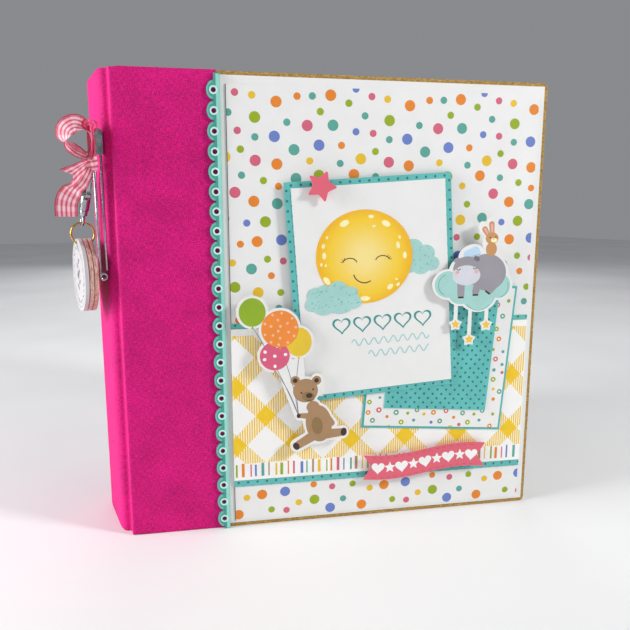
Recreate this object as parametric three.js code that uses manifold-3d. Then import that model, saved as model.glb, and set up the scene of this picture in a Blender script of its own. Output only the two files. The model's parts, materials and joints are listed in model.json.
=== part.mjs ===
// Scrapbook album: a bookcloth-hinged chipboard album that stands on its bottom edges with both
// covers a little open, six fanned pages inside, a papercraft front cover, and a safety pin over
// the front gutter that carries a ribbon bow, a lobster clasp and three round charms.
//
// Frame: millimetres, +Z up. Origin at the bottom centre of the spine board, +X from the spine to
// the fore-edge, +Y from the front cover to the back cover. The dimensions below count X from the
// spine's outside face; the whole album is moved back by BASE_X at the end.

import * as THREE from 'three';
import { mergeVertices } from 'three/addons/utils/BufferGeometryUtils.js';
import Module from 'manifold-3d';

const wasm = await Module();
wasm.setup();

// ---------------------------------------------------------------- driving dimensions

const COVER_W = 216;          // 8.5 in, spine edge to fore-edge
const COVER_H = 228.6;        // 9 in
const BOARD = 2.4;            // chipboard thickness
const CLOTH = 0.5;            // bookcloth thickness
const PAPER = 0.3;            // cardstock thickness
const GAP = 0.1;              // between glued layers
const SPINE_W = 34;
const FLARE = THREE.MathUtils.degToRad(17);   // how far each cover stands open at rest
const HINGE_X = 4.2;          // the gutter's fold line
const HINGE_Y = 19.65;
const BOARD_START = 1.9;      // fold line to the cover board's spine-side edge
const OUTER = 5.5;            // fold line to the cover board's outside face
const CLOTH_ON_COVER = 46;    // width of the bookcloth on each cover

const PAGES = 6;
const PAGE_PITCH = 5.5;
const PAGE_HINGE_X = 7.5;
const PAGE_W = 200;
const PAGE_H = 216;
const PAGE_LIFT = 6;          // pages clear the surface the album stands on
const PAGE_T = 1.6;
const PAGE_FAN = [0.75, 0.45, 0.15];   // share of its cover's angle that each page takes

const PIN = { x: -2, y: -19.3, z: 133, spread: 3, wire: 0.7, length: 66 };
const CLASP_TOP = new THREE.Vector3(-5.3, -11.5, 179);
const RING = { center: new THREE.Vector3(-8.6, -4, 153), radius: 5.5, wire: 0.5 };
const CHARM = { radius: 18, thick: 1.9, pitch: 2.2, holeRadius: 1.5, holeInset: 3.2, drop: 5.4 };
const CHARM_YAW = THREE.MathUtils.degToRad(2.5);
const RIBBON_W = 10;

// ---------------------------------------------------------------- materials

const finish = (color, roughness, metalness = 0) =>
  new THREE.MeshStandardMaterial({ color, roughness, metalness });

const MAT = {
  cloth: finish('#c8107a', 0.85),
  kraft: finish('#b08a3c', 0.9),
  white: finish('#eeeeee', 0.8),
  teal: finish('#5dbdb5', 0.8),
  scallop: finish('#58c2b2', 0.8),
  yellow: finish('#f3c21a', 0.8),
  coral: finish('#de6274', 0.7),
  foam: finish('#f4f2ec', 0.95),
  steel: finish('#c9ccd0', 0.25, 1),
  gold: finish('#c9a350', 0.3, 1),
  charmWhite: finish('#eef1f3', 0.4),
  charmRose: finish('#c08d80', 0.5),
  ribbon: finish('#f27a9e', 0.8),
};

// ---------------------------------------------------------------- helpers

const album = new THREE.Group();

function add(parent, name, geometry, material, place = {}) {
  const mesh = new THREE.Mesh(geometry, material);
  mesh.name = name;
  const { x = 0, y = 0, z = 0, turn = 0 } = place;
  mesh.position.set(x, y, z);
  mesh.rotation.z = turn;
  parent.add(mesh);
  return mesh;
}

const box = (x0, x1, y0, y1, z0, z1) =>
  new THREE.BoxGeometry(x1 - x0, y1 - y0, z1 - z0)
    .translate((x0 + x1) / 2, (y0 + y1) / 2, (z0 + z1) / 2);

const extrude = (shape, depth, curveSegments = 12) =>
  new THREE.ExtrudeGeometry(shape, { depth, bevelEnabled: false, curveSegments });

function outline(points) {
  return new THREE.Shape(points.map(([x, y]) => new THREE.Vector2(x, y)));
}

// A closed mesh as a solid that can be joined and cut, and back again.
function toSolid(geometry) {
  const bare = geometry.clone();
  bare.deleteAttribute('normal');
  bare.deleteAttribute('uv');
  const merged = mergeVertices(bare, 1e-5);
  return new wasm.Manifold(new wasm.Mesh({
    numProp: 3,
    vertProperties: new Float32Array(merged.attributes.position.array),
    triVerts: new Uint32Array(merged.index.array),
  }));
}

function toGeometry(solid) {
  const mesh = solid.getMesh();
  const geometry = new THREE.BufferGeometry();
  geometry.setAttribute('position', new THREE.BufferAttribute(mesh.vertProperties, mesh.numProp));
  geometry.setIndex(new THREE.BufferAttribute(mesh.triVerts, 1));
  return geometry;
}

const join = (...parts) =>
  toGeometry(parts.map(toSolid).reduce((whole, part) => whole.add(part)));

function cut(body, ...tools) {
  return toGeometry(tools.map(toSolid).reduce((left, tool) => left.subtract(tool), toSolid(body)));
}

// A strip on edge: a smooth path in plan, given a thickness and a height.
function strip(path, thick, height, count) {
  const curve = new THREE.SplineCurve(path.map(([x, y]) => new THREE.Vector2(x, y)));
  const near = [];
  const far = [];
  for (let i = 0; i <= count; i += 1) {
    const p = curve.getPoint(i / count);
    const t = curve.getTangent(i / count).multiplyScalar(thick / 2);
    near.push([p.x - t.y, p.y + t.x]);
    far.unshift([p.x + t.y, p.y - t.x]);
  }
  return extrude(outline([...near, ...far]), height);
}

// An ellipse in a paper's plane: centre, radii and tilt in degrees.
function blob(x, y, rx, ry = rx, tilt = 0) {
  const shape = new THREE.Shape();
  shape.absellipse(x, y, rx, ry, 0, 2 * Math.PI, false, THREE.MathUtils.degToRad(tilt));
  return shape;
}

// A round-ended bar in a paper's plane.
function bar(x0, y0, x1, y1, r) {
  const across = Math.atan2(y1 - y0, x1 - x0) - Math.PI / 2;
  const shape = new THREE.Shape();
  shape.absarc(x0, y0, r, across + Math.PI, across + 2 * Math.PI, false);
  shape.absarc(x1, y1, r, across, across + Math.PI, false);
  shape.closePath();
  return shape;
}

const diecut = (shapes, depth) => join(...shapes.map((shape) => extrude(shape, depth, 9)));

const sheet = (x0, x1, z0, z1, thick = PAPER) => box(x0, x1, z0, z1, 0, thick);

// ---------------------------------------------------------------- spine

const spine = new THREE.Group();
album.add(spine);
const halfSpine = SPINE_W / 2;
const SPINE_BOARD_X = CLOTH + 2 * GAP;
const BASE_X = SPINE_BOARD_X + BOARD / 2;

add(spine, 'spine_cloth', box(0, CLOTH, -halfSpine, halfSpine, 0, COVER_H), MAT.cloth);
add(spine, 'spine_board',
  box(SPINE_BOARD_X, SPINE_BOARD_X + BOARD, -halfSpine, halfSpine, 0, COVER_H), MAT.kraft);

const linerX = SPINE_BOARD_X + BOARD + GAP;
add(spine, 'spine_liner',
  box(linerX, linerX + PAPER, 1 - halfSpine, halfSpine - 1, 3, COVER_H - 3), MAT.white);

// The binding strip is a comb in plan: one flange for each page.
function bindingComb() {
  const base = linerX + PAPER + GAP;
  const root = base + 0.8;
  const tip = PAGE_HINGE_X - 1.3;
  const points = [[base, 16], [base, -16], [root, -16]];
  for (let k = 0; k < PAGES; k += 1) {
    const y = (k - (PAGES - 1) / 2) * PAGE_PITCH;
    points.push([root, y - 0.5], [tip, y - 0.5], [tip, y + 0.5], [root, y + 0.5]);
  }
  points.push([root, 16]);
  return extrude(outline(points), PAGE_H);
}
add(spine, 'binding_strip', bindingComb(), MAT.white, { z: PAGE_LIFT });

// The bookcloth dips from the spine's edge into the gutter and climbs the cover board's edge.
function gutterCloth(side) {
  const path = [[0.75, 17.45], [2.1, 18.7], [3.85, 20.0], [4.35, 21.7], [4.2, 23.3], [3.75, 25.1]];
  return strip(path.map(([x, y]) => [x, side * y]), CLOTH, COVER_H - 2, 12);
}
add(spine, 'front_gutter_cloth', gutterCloth(-1), MAT.cloth, { z: 1 });
add(spine, 'back_gutter_cloth', gutterCloth(1), MAT.cloth, { z: 1 });

// ---------------------------------------------------------------- covers

// Both covers are laid out in their outside face's own plane: x from the board's spine-side edge,
// y up, and a level that counts outward from the board. side is -1 in front and +1 behind.
function cover(side) {
  const hinge = new THREE.Group();
  hinge.position.set(HINGE_X, side * HINGE_Y, 0);
  hinge.rotation.z = side * FLARE;
  const face = new THREE.Group();
  face.position.set(BOARD_START, side * OUTER, 0);
  face.rotation.x = Math.PI / 2;
  hinge.add(face);
  album.add(hinge);
  return (name, geometry, material, level, thick = PAPER, place = {}) => {
    const z = side < 0 ? level : -level - thick;
    return add(face, name, geometry, material, { ...place, z });
  };
}

const SCALLOP = { left: 42.9, root: 46.3, right: 49.1, pitch: 9.3, hole: 1.1, first: 5.7 };

// The punched border: one scallop for each pitch, each with a round hole.
function scallopBorder() {
  const shape = new THREE.Shape();
  const half = SCALLOP.pitch / 2;
  const last = Math.floor((COVER_H - SCALLOP.first - half) / SCALLOP.pitch);
  shape.moveTo(SCALLOP.right, COVER_H);
  shape.lineTo(SCALLOP.root, COVER_H);
  shape.lineTo(SCALLOP.root, SCALLOP.first + last * SCALLOP.pitch + half);
  for (let k = last; k >= 0; k -= 1) {
    const y = SCALLOP.first + k * SCALLOP.pitch;
    shape.ellipse(0, -half, SCALLOP.root - SCALLOP.left, half, Math.PI / 2, -Math.PI / 2, false);
    const hole = new THREE.Path();
    hole.absarc(SCALLOP.root, y, SCALLOP.hole, 0, 2 * Math.PI, true);
    shape.holes.push(hole);
  }
  shape.lineTo(SCALLOP.root, 0);
  shape.lineTo(SCALLOP.right, 0);
  return extrude(shape, PAPER, 4);
}

function coverBase(layer, prefix) {
  layer(`${prefix}_board`, sheet(0, COVER_W, 0, COVER_H, BOARD), MAT.kraft, -BOARD, BOARD);
  layer(`${prefix}_cloth`, sheet(0, CLOTH_ON_COVER, 0, COVER_H, CLOTH), MAT.cloth, GAP, CLOTH);
  layer(`${prefix}_liner`, sheet(3, COVER_W - 3, 3, COVER_H - 3), MAT.white, -BOARD - GAP - PAPER);
  layer(`${prefix}_mat`, sheet(47, 214, 2.2, 226.7), MAT.white, GAP);
  layer(`${prefix}_dot_paper`, sheet(51.7, 211, 3.5, 222.5), MAT.white, PAPER + 2 * GAP);
  layer(`${prefix}_scallop_border`, scallopBorder(), MAT.scallop, CLOTH + 2 * GAP);
}

const front = cover(-1);
const back = cover(1);
coverBase(front, 'front');
coverBase(back, 'back');

// Each sheet level is one paper and one gap above the one before.
const level = (n) => PAPER * n + GAP * (n + 1);

// A teal strip shows along both edges of the gingham band laid over it.
front('teal_band', sheet(51.7, 211, 22.4, 108.6), MAT.teal, level(2));
front('gingham_band', sheet(51.7, 211, 26, 106), MAT.yellow, level(3));

// A rectangle of paper turned about its own centre.
const tilted = (w, h) => box(-w / 2, w / 2, -h / 2, h / 2, 0, PAPER);
const CONFETTI = { x: 161.5, y: 87.6, turn: THREE.MathUtils.degToRad(-4.5) };
const CARD = { x: 124.9, y: 125.2, turn: THREE.MathUtils.degToRad(4) };
front('confetti_backing', tilted(79, 80), MAT.teal, level(4), PAPER, CONFETTI);
front('confetti_mat', tilted(76.4, 77.4), MAT.white, level(5), PAPER, CONFETTI);
front('teal_inset', tilted(57.5, 61), MAT.teal, level(6), PAPER, { ...CONFETTI, x: 162.2, y: 89.3 });
front('card_mat', tilted(85.4, 111), MAT.teal, level(7), PAPER, CARD);
front('moon_card', tilted(78.8, 105), MAT.white, level(8), PAPER, CARD);

function star(x, y, outer, inner, turn) {
  const points = [];
  for (let i = 0; i < 10; i += 1) {
    const a = turn + (i * Math.PI) / 5;
    const r = i % 2 ? inner : outer;
    points.push([x + r * Math.cos(a), y + r * Math.sin(a)]);
  }
  return outline(points);
}

const STAR_LEVEL = 5.6;
const DIECUT_LEVEL = 5.4;
const BANNER_LEVEL = 4;
const DIECUT = 0.5;
front('star_diecut', extrude(star(96.6, 175.9, 7.6, 4, 1.19), DIECUT), MAT.coral, STAR_LEVEL, DIECUT);

// Four balloons held by a seated bear cub, with the white margin of a cut sticker.
const balloonShapes = [
  blob(62.1, 115, 8, 8.4), blob(75.7, 106.3, 10.7, 10.7), blob(85, 99.2, 8.1, 8.8),
  blob(73, 92.6, 8.9, 8.8), outline([[69.5, 92], [88, 92], [90, 60], [82, 60]]),
  blob(88.5, 73.9, 7.7, 7.5), blob(83, 79.6, 3.6), blob(94.6, 79.2, 3.6),
  blob(95.4, 56, 8.2, 11.4, 8), bar(90, 60, 85.2, 60.6, 2.8), bar(99, 60, 102.6, 55.4, 2.8),
  bar(91, 48.4, 84, 44.6, 3.8), bar(99, 50, 108, 50.4, 3.8),
];
front('balloon_diecut', diecut(balloonShapes, DIECUT), MAT.white, DIECUT_LEVEL, DIECUT);

// A plump animal asleep on a cloud, a rabbit on its back, three stars hung below.
const cloudShapes = [
  blob(163.2, 126.6, 8.6, 8.2), blob(170.6, 121.6, 8, 6.6), blob(180.2, 120.4, 10.8, 8.8),
  blob(191.4, 125.4, 7.8, 7.8), blob(184.2, 132, 12.4, 11.4), blob(173, 132.6, 9.8, 9.2),
  blob(175.4, 141.4, 7.4, 5.8, 24), blob(186.2, 147.2, 4.8, 7.4), blob(182.2, 155, 2.6, 4.4, 30),
  blob(185.8, 156.4, 2.6, 4.6, 6), bar(168.1, 116, 168.1, 106, 1), bar(176.1, 114, 176.1, 98, 1),
  bar(185, 114, 185, 105, 1), star(168.1, 105.6, 3.9, 2.5, 0.32), star(176, 97.3, 3.9, 2.5, 0.32),
  star(185.2, 104.8, 3.9, 2.5, 0.32),
];
front('cloud_diecut', diecut(cloudShapes, DIECUT), MAT.white, DIECUT_LEVEL, DIECUT);

// The banner hangs in a shallow S between two swallow tails.
function banner() {
  const { left, right, mid, rise, half } = { left: 120, right: 188.6, mid: 30.5, rise: 2.2, half: 6.7 };
  const steps = 16;
  const at = (i) => left + ((right - left) * i) / steps;
  const wave = (x) => mid + rise * Math.sin(((x - left) / (right - left) - 0.5) * 2 * Math.PI * 0.8);
  const top = [];
  const bottom = [];
  for (let i = 0; i <= steps; i += 1) {
    top.push([at(i), wave(at(i)) + half]);
    bottom.unshift([at(i), wave(at(i)) - half]);
  }
  const notch = 4.5;
  return outline([...top, [right - notch, wave(right)], ...bottom, [left + notch, wave(left)]]);
}
front('banner', extrude(banner(), DIECUT), MAT.coral, BANNER_LEVEL, DIECUT);

// A foam square lifts each die-cut: its centre, half size, and the two levels it fills.
function foamPad(name, x, y, half, from, to) {
  const thick = to - GAP - from;
  front(name, box(x - half, x + half, y - half, y + half, 0, thick), MAT.foam, from, thick);
}
foamPad('star_foam', 96.6, 175.6, 2.6, level(9), STAR_LEVEL);
foamPad('balloon_foam', 94, 74, 3.6, level(9), DIECUT_LEVEL);
foamPad('cloud_foam', 186, 133.6, 5.4, level(2), DIECUT_LEVEL);
foamPad('banner_foam', 154.3, 30.5, 4.5, level(4), BANNER_LEVEL);

// ---------------------------------------------------------------- pages

// Each page fans with its nearer cover: the share shrinks towards the middle.
for (let k = 0; k < PAGES; k += 1) {
  const side = k < PAGES / 2 ? -1 : 1;
  const share = PAGE_FAN[side < 0 ? k : PAGES - 1 - k];
  const page = new THREE.Group();
  page.position.set(PAGE_HINGE_X, (k - (PAGES - 1) / 2) * PAGE_PITCH, PAGE_LIFT);
  page.rotation.z = side * share * FLARE;
  album.add(page);
  const half = PAGE_T / 2;
  add(page, `page_${k + 1}`, box(0.6, PAGE_W, -half, half, 0, PAGE_H), MAT.white);
  const matY = side < 0 ? -half - GAP - PAPER : half + GAP;
  add(page, `page_${k + 1}_mat`, box(22, PAGE_W - 12, matY, matY + PAPER, 16, PAGE_H - 16), MAT.teal);
}

// ---------------------------------------------------------------- safety pin

const rod = (x, y, z0, z1, r, sides = 12) =>
  new THREE.CylinderGeometry(r, r, z1 - z0, sides).rotateX(Math.PI / 2).translate(x, y, (z0 + z1) / 2);

const pin = new THREE.Group();
pin.position.set(PIN.x, PIN.y, PIN.z);
album.add(pin);
const offset = PIN.spread / 2;
const coil = new THREE.TorusGeometry(offset, PIN.wire, 10, 20).rotateX(Math.PI / 2);
const CAP = { from: PIN.length - 9, to: PIN.length + 3, half: 2.7, deep: 1.2 };

add(pin, 'pin_wire', join(coil, rod(-offset, 0, 0, CAP.from - 0.3, PIN.wire)), MAT.steel);

// The cap is a folded plate: a slot in it takes the arm's point and lets it be squeezed inward.
const capShell = join(
  box(-CAP.half, CAP.half, -CAP.deep, CAP.deep, CAP.from, CAP.to - CAP.half),
  new THREE.CylinderGeometry(CAP.half, CAP.half, 2 * CAP.deep, 20).translate(0, 0, CAP.to - CAP.half),
);
const pocket = box(-0.7, CAP.half - 0.35, -0.85, 0.85, CAP.from - 1, CAP.to - 3.4);
add(pin, 'pin_cap', cut(capShell, pocket), MAT.steel);
add(pin, 'pin_arm', rod(offset + 0.1, 0, offset + PIN.wire + 0.6, CAP.to - 4, PIN.wire - 0.1), MAT.steel);

// ---------------------------------------------------------------- ribbon

// Plan positions here are world ones: the bow is tied over the pin's fixed wire below the cap.
const KNOT = { x: PIN.x - offset, y: PIN.y, z: 185.5 };
const knot = join(
  rod(KNOT.x, KNOT.y, KNOT.z - 3.4, KNOT.z + 1.6, 1.5),
  new THREE.SphereGeometry(3.1, 14, 10).scale(0.8, 0.95, 1.1).translate(KNOT.x - 1.9, KNOT.y, KNOT.z),
);
const armSpace = box(PIN.x - 0.1, PIN.x + 4, PIN.y - 5, PIN.y + 5, KNOT.z - 6, KNOT.z + 6);
add(album, 'ribbon_knot',
  cut(knot, rod(KNOT.x, KNOT.y, KNOT.z - 6, KNOT.z + 6, PIN.wire + 0.25), armSpace), MAT.ribbon);

// A loop of ribbon stands on edge: it leaves the knot, swells and comes back beside its start.
function ribbonLoop(length, width, depth) {
  const path = [[0, 0.9], [0.35, 0.42], [0.75, 0.5], [1, 0.08], [0.8, -0.42], [0.4, -0.4], [0, -0.9]];
  const ends = (u, v) => (u === 0 ? v : v * width);
  return strip(path.map(([u, v]) => [u * length, ends(u, v)]), 0.6, depth, 22);
}
const degrees = THREE.MathUtils.degToRad;
add(album, 'ribbon_loop_outer', ribbonLoop(17.5, 17, RIBBON_W)
  .rotateX(degrees(90)).rotateY(degrees(180 + 52))
  .translate(KNOT.x - 1.6, KNOT.y - 1.6, KNOT.z + 6.2), MAT.ribbon);
add(album, 'ribbon_loop_inner', ribbonLoop(17, 7, 5)
  .rotateY(degrees(-90)).rotateX(degrees(-25)).translate(KNOT.x - 2, KNOT.y + 1.4, KNOT.z + 4), MAT.ribbon);

// The tails are flat strips seen square on: one short with a swallow cut, one long and square.
function tail(points, thick = 0.6) {
  return extrude(outline(points), thick).rotateX(Math.PI / 2);
}
add(album, 'ribbon_tail_upper',
  tail([[-7.4, 184.4], [-7.4, 182.6], [-22.4, 173.5], [-16.6, 178.6], [-18.6, 184.2]])
    .translate(0, PIN.y - 1.2, 0), MAT.ribbon);
add(album, 'ribbon_tail_lower',
  tail([[-5.6, 180], [-7.6, 180.6], [-15, 174.2], [-20.6, 170.2], [-21.6, 161.4], [-11.6, 161.4],
    [-10.9, 170]]).translate(0, PIN.y + 1.2, 0), MAT.ribbon);

// ---------------------------------------------------------------- lobster clasp

// The clasp's own frame: origin where the ribbon carries it, -Z along it to the jump ring, X square
// to its flat. The clasp is 3 mm thick in X.
const RING_TOP = RING.center.clone().add(new THREE.Vector3(0, 0, RING.radius));
const clasp = new THREE.Group();
clasp.position.copy(CLASP_TOP);
const up = CLASP_TOP.clone().sub(RING_TOP).normalize();
const CLASP_LENGTH = CLASP_TOP.distanceTo(RING_TOP);
const outward = new THREE.Vector3(-1, 0, 0).projectOnPlane(up).normalize();
clasp.quaternion.setFromRotationMatrix(
  new THREE.Matrix4().makeBasis(outward, up.clone().cross(outward), up));
album.add(clasp);

// A flat profile in the clasp's Y-Z plane, centred on X.
const plate = (shape, thick) =>
  extrude(shape, thick, 14).rotateY(Math.PI / 2).rotateX(Math.PI / 2).translate(-thick / 2, 0, 0);
const HEAD = { z: -2.6, ry: 5.5, rz: 7.8, holeY: 3, holeZ: 5 };
const BARREL = { top: -8.5, end: -15.4, radius: 2.3, bore: 1.5 };
// relief slopes the lever's foot so that it clears the body when it is pressed in.
const GATE = { y: 3.9, z: -7.1, knuckle: 1.1, relief: 0.38 };
const LEVER_T = 2.2;

const gateSpace = box(-2, 2, 1.6, 7, GATE.z - 0.1, 1.6);
const knuckleSpace = new THREE.CylinderGeometry(1.5, 1.5, 4, 16).rotateZ(Math.PI / 2)
  .translate(0, GATE.y, GATE.z);
const claspHead = join(plate(blob(0, HEAD.z, HEAD.ry, HEAD.rz), 3),
  rod(0, 0, BARREL.end, BARREL.top, BARREL.radius, 16));
add(clasp, 'clasp_body', cut(claspHead, plate(blob(0, HEAD.z + 0.4, HEAD.holeY, HEAD.holeZ), 4),
  gateSpace, knuckleSpace, rod(0, 0, BARREL.end - 1, BARREL.end + 3.2, BARREL.bore, 16)), MAT.steel);

// The lever closes the gate: a curved bar on a knuckle, with a thumb tab.
const ringSector = cut(plate(blob(0, HEAD.z, HEAD.ry - 0.2, HEAD.rz - 0.2), LEVER_T),
  plate(blob(0, HEAD.z + 0.4, HEAD.holeY + 0.3, HEAD.holeZ + 0.2), 4),
  box(-3, 3, -8, 1.9, -20, 20), box(-3, 3, -8, 8, 1.2, 20), box(-3, 3, -8, 8, -20, GATE.z),
  box(-3, 3, -8, 0, -8, 0).rotateX(-GATE.relief).translate(0, GATE.y, GATE.z));
const knuckle = new THREE.CylinderGeometry(GATE.knuckle, GATE.knuckle, LEVER_T, 14)
  .rotateZ(Math.PI / 2).translate(0, GATE.y, GATE.z);
const thumbTab = box(-LEVER_T / 2, LEVER_T / 2, GATE.y + 0.4, GATE.y + 2.9, GATE.z + 0.2, GATE.z + 1.6);
add(clasp, 'clasp_lever', join(ringSector, knuckle, thumbTab), MAT.steel);

// The swivel turns in the barrel; its eye holds the jump ring.
const EYE = { radius: 2.6, wire: 0.7 };
const eyeZ = -CLASP_LENGTH + 1.2;
const stemTop = eyeZ + EYE.radius;
add(clasp, 'clasp_swivel', join(
  new THREE.TorusGeometry(EYE.radius, EYE.wire, 10, 20).rotateY(Math.PI / 2).translate(0, 0, eyeZ),
  rod(0, 0, stemTop - 0.4, BARREL.end + 2.8, 1.1),
  rod(0, 0, stemTop + 0.2, BARREL.end - 0.3, 1.9)), MAT.steel);

// ---------------------------------------------------------------- jump ring and charms

// Ring and charms share one frame whose -X runs out from the spine, through the charms.
const hanger = new THREE.Group();
hanger.position.copy(RING.center);
hanger.rotation.z = CHARM_YAW;
album.add(hanger);
add(hanger, 'jump_ring', new THREE.TorusGeometry(RING.radius, RING.wire, 10, 28)
  .rotateX(Math.PI / 2), MAT.gold);

function charm() {
  const disc = new THREE.CylinderGeometry(CHARM.radius, CHARM.radius, CHARM.thick, 48);
  const hole = new THREE.CylinderGeometry(CHARM.holeRadius, CHARM.holeRadius, 2 * CHARM.thick, 16);
  const centre = -CHARM.drop - (CHARM.radius - CHARM.holeInset);
  return cut(disc.rotateZ(Math.PI / 2).translate(0, 0, centre),
    hole.rotateZ(Math.PI / 2).translate(0, 0, -CHARM.drop));
}
['inner', 'middle', 'outer'].forEach((place, i) => {
  const material = place === 'outer' ? MAT.charmWhite : MAT.charmRose;
  add(hanger, `charm_${place}`, charm(), material, { x: -(i - 1) * CHARM.pitch });
});

album.position.x = -BASE_X;

export default album;
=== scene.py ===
"""Looks for the scrapbook album: bookcloth, printed papers, die-cuts, ribbon bow, clasp and charms.

Lengths in this script are millimetres until a mesh is made; meshes are in metres, in the row frame.
"""
import json
import math
import random

import bmesh
import bpy
from mathutils import Matrix, Vector, noise


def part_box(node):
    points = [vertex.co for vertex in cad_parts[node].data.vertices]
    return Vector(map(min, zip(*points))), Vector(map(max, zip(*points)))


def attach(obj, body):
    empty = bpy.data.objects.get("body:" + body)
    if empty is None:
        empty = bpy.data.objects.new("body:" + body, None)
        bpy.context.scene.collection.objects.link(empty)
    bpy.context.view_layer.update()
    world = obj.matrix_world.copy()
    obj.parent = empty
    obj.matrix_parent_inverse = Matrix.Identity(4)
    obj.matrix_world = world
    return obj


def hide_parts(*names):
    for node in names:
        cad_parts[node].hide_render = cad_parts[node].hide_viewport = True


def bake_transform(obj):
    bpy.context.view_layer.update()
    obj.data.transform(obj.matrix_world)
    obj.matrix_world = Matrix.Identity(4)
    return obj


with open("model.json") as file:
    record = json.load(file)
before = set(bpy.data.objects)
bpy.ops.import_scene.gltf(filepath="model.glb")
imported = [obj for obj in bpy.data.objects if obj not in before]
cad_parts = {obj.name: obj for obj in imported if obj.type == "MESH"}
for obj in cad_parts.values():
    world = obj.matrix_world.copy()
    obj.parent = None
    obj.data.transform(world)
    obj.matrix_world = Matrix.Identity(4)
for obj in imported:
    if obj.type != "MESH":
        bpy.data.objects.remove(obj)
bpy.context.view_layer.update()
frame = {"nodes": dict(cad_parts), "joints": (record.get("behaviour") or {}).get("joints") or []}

MM = 0.001
TAU = 2 * math.pi
JOINTS = {j["name"]: j for j in frame["joints"]}

# Layout of the covers in their own plane: x from the board's spine-side edge, y up, level outward.
COVER_W, COVER_H = 216, 228.6
BOARD, CLOTH, PAPER, GAP = 2.4, 0.5, 0.3, 0.1
FLARE = math.radians(17)
BOARD_START, OUTER = 1.9, 5.5
PANEL = (51.7, 3.5, 211, 222.5)        # the dotted paper: left, bottom, right, top
BAND = (51.7, 26, 211, 106)            # the gingham band
SPINE_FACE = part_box("spine_cloth")[0][0] / MM
RIBBON_W = 10
MOON, MOON_RX, MOON_RY = (119.3, 141.3), 25.0, 23.5


def level(n):
    """The underside of the n-th sheet of paper on a cover, as the CAD stacks them."""
    return PAPER * n + GAP * (n + 1)


# ---------------------------------------------------------------- planes

def leaf_plane(hinge, side, angle, offset):
    """From a leaf's plane in mm (x along, y up, z outward) to the row frame; side: -1 front, 1 back."""
    return (Matrix.Translation(hinge) @ Matrix.Rotation(side * angle, 4, "Z") @ Matrix.Scale(MM, 4)
            @ Matrix.Translation(offset) @ Matrix.Rotation(math.pi / 2, 4, "X")
            @ Matrix.Diagonal((1, 1, -side, 1)))


def cover_plane(side):
    """The outside face of a cover's board, with x counted from its spine-side edge."""
    hinge = Vector(JOINTS["front_cover_turn" if side < 0 else "back_cover_turn"]["pos_m"])
    hinge.z = 0
    return leaf_plane(hinge, side, FLARE, (BOARD_START, side * OUTER, 0))


FRONT, BACK = cover_plane(-1), cover_plane(1)


# ---------------------------------------------------------------- node helpers

def srgb(text):
    """A hex colour as linear values."""
    parts = [int(text[i:i + 2], 16) / 255 for i in (1, 3, 5)]
    return tuple(c / 12.92 if c <= 0.04045 else ((c + 0.055) / 1.055) ** 2.4 for c in parts) + (1.0,)


def shade(hexcode, k):
    """A hex colour made k times as bright."""
    return tuple(min(1.0, c * k) for c in srgb(hexcode)[:3]) + (1.0,)


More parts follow.
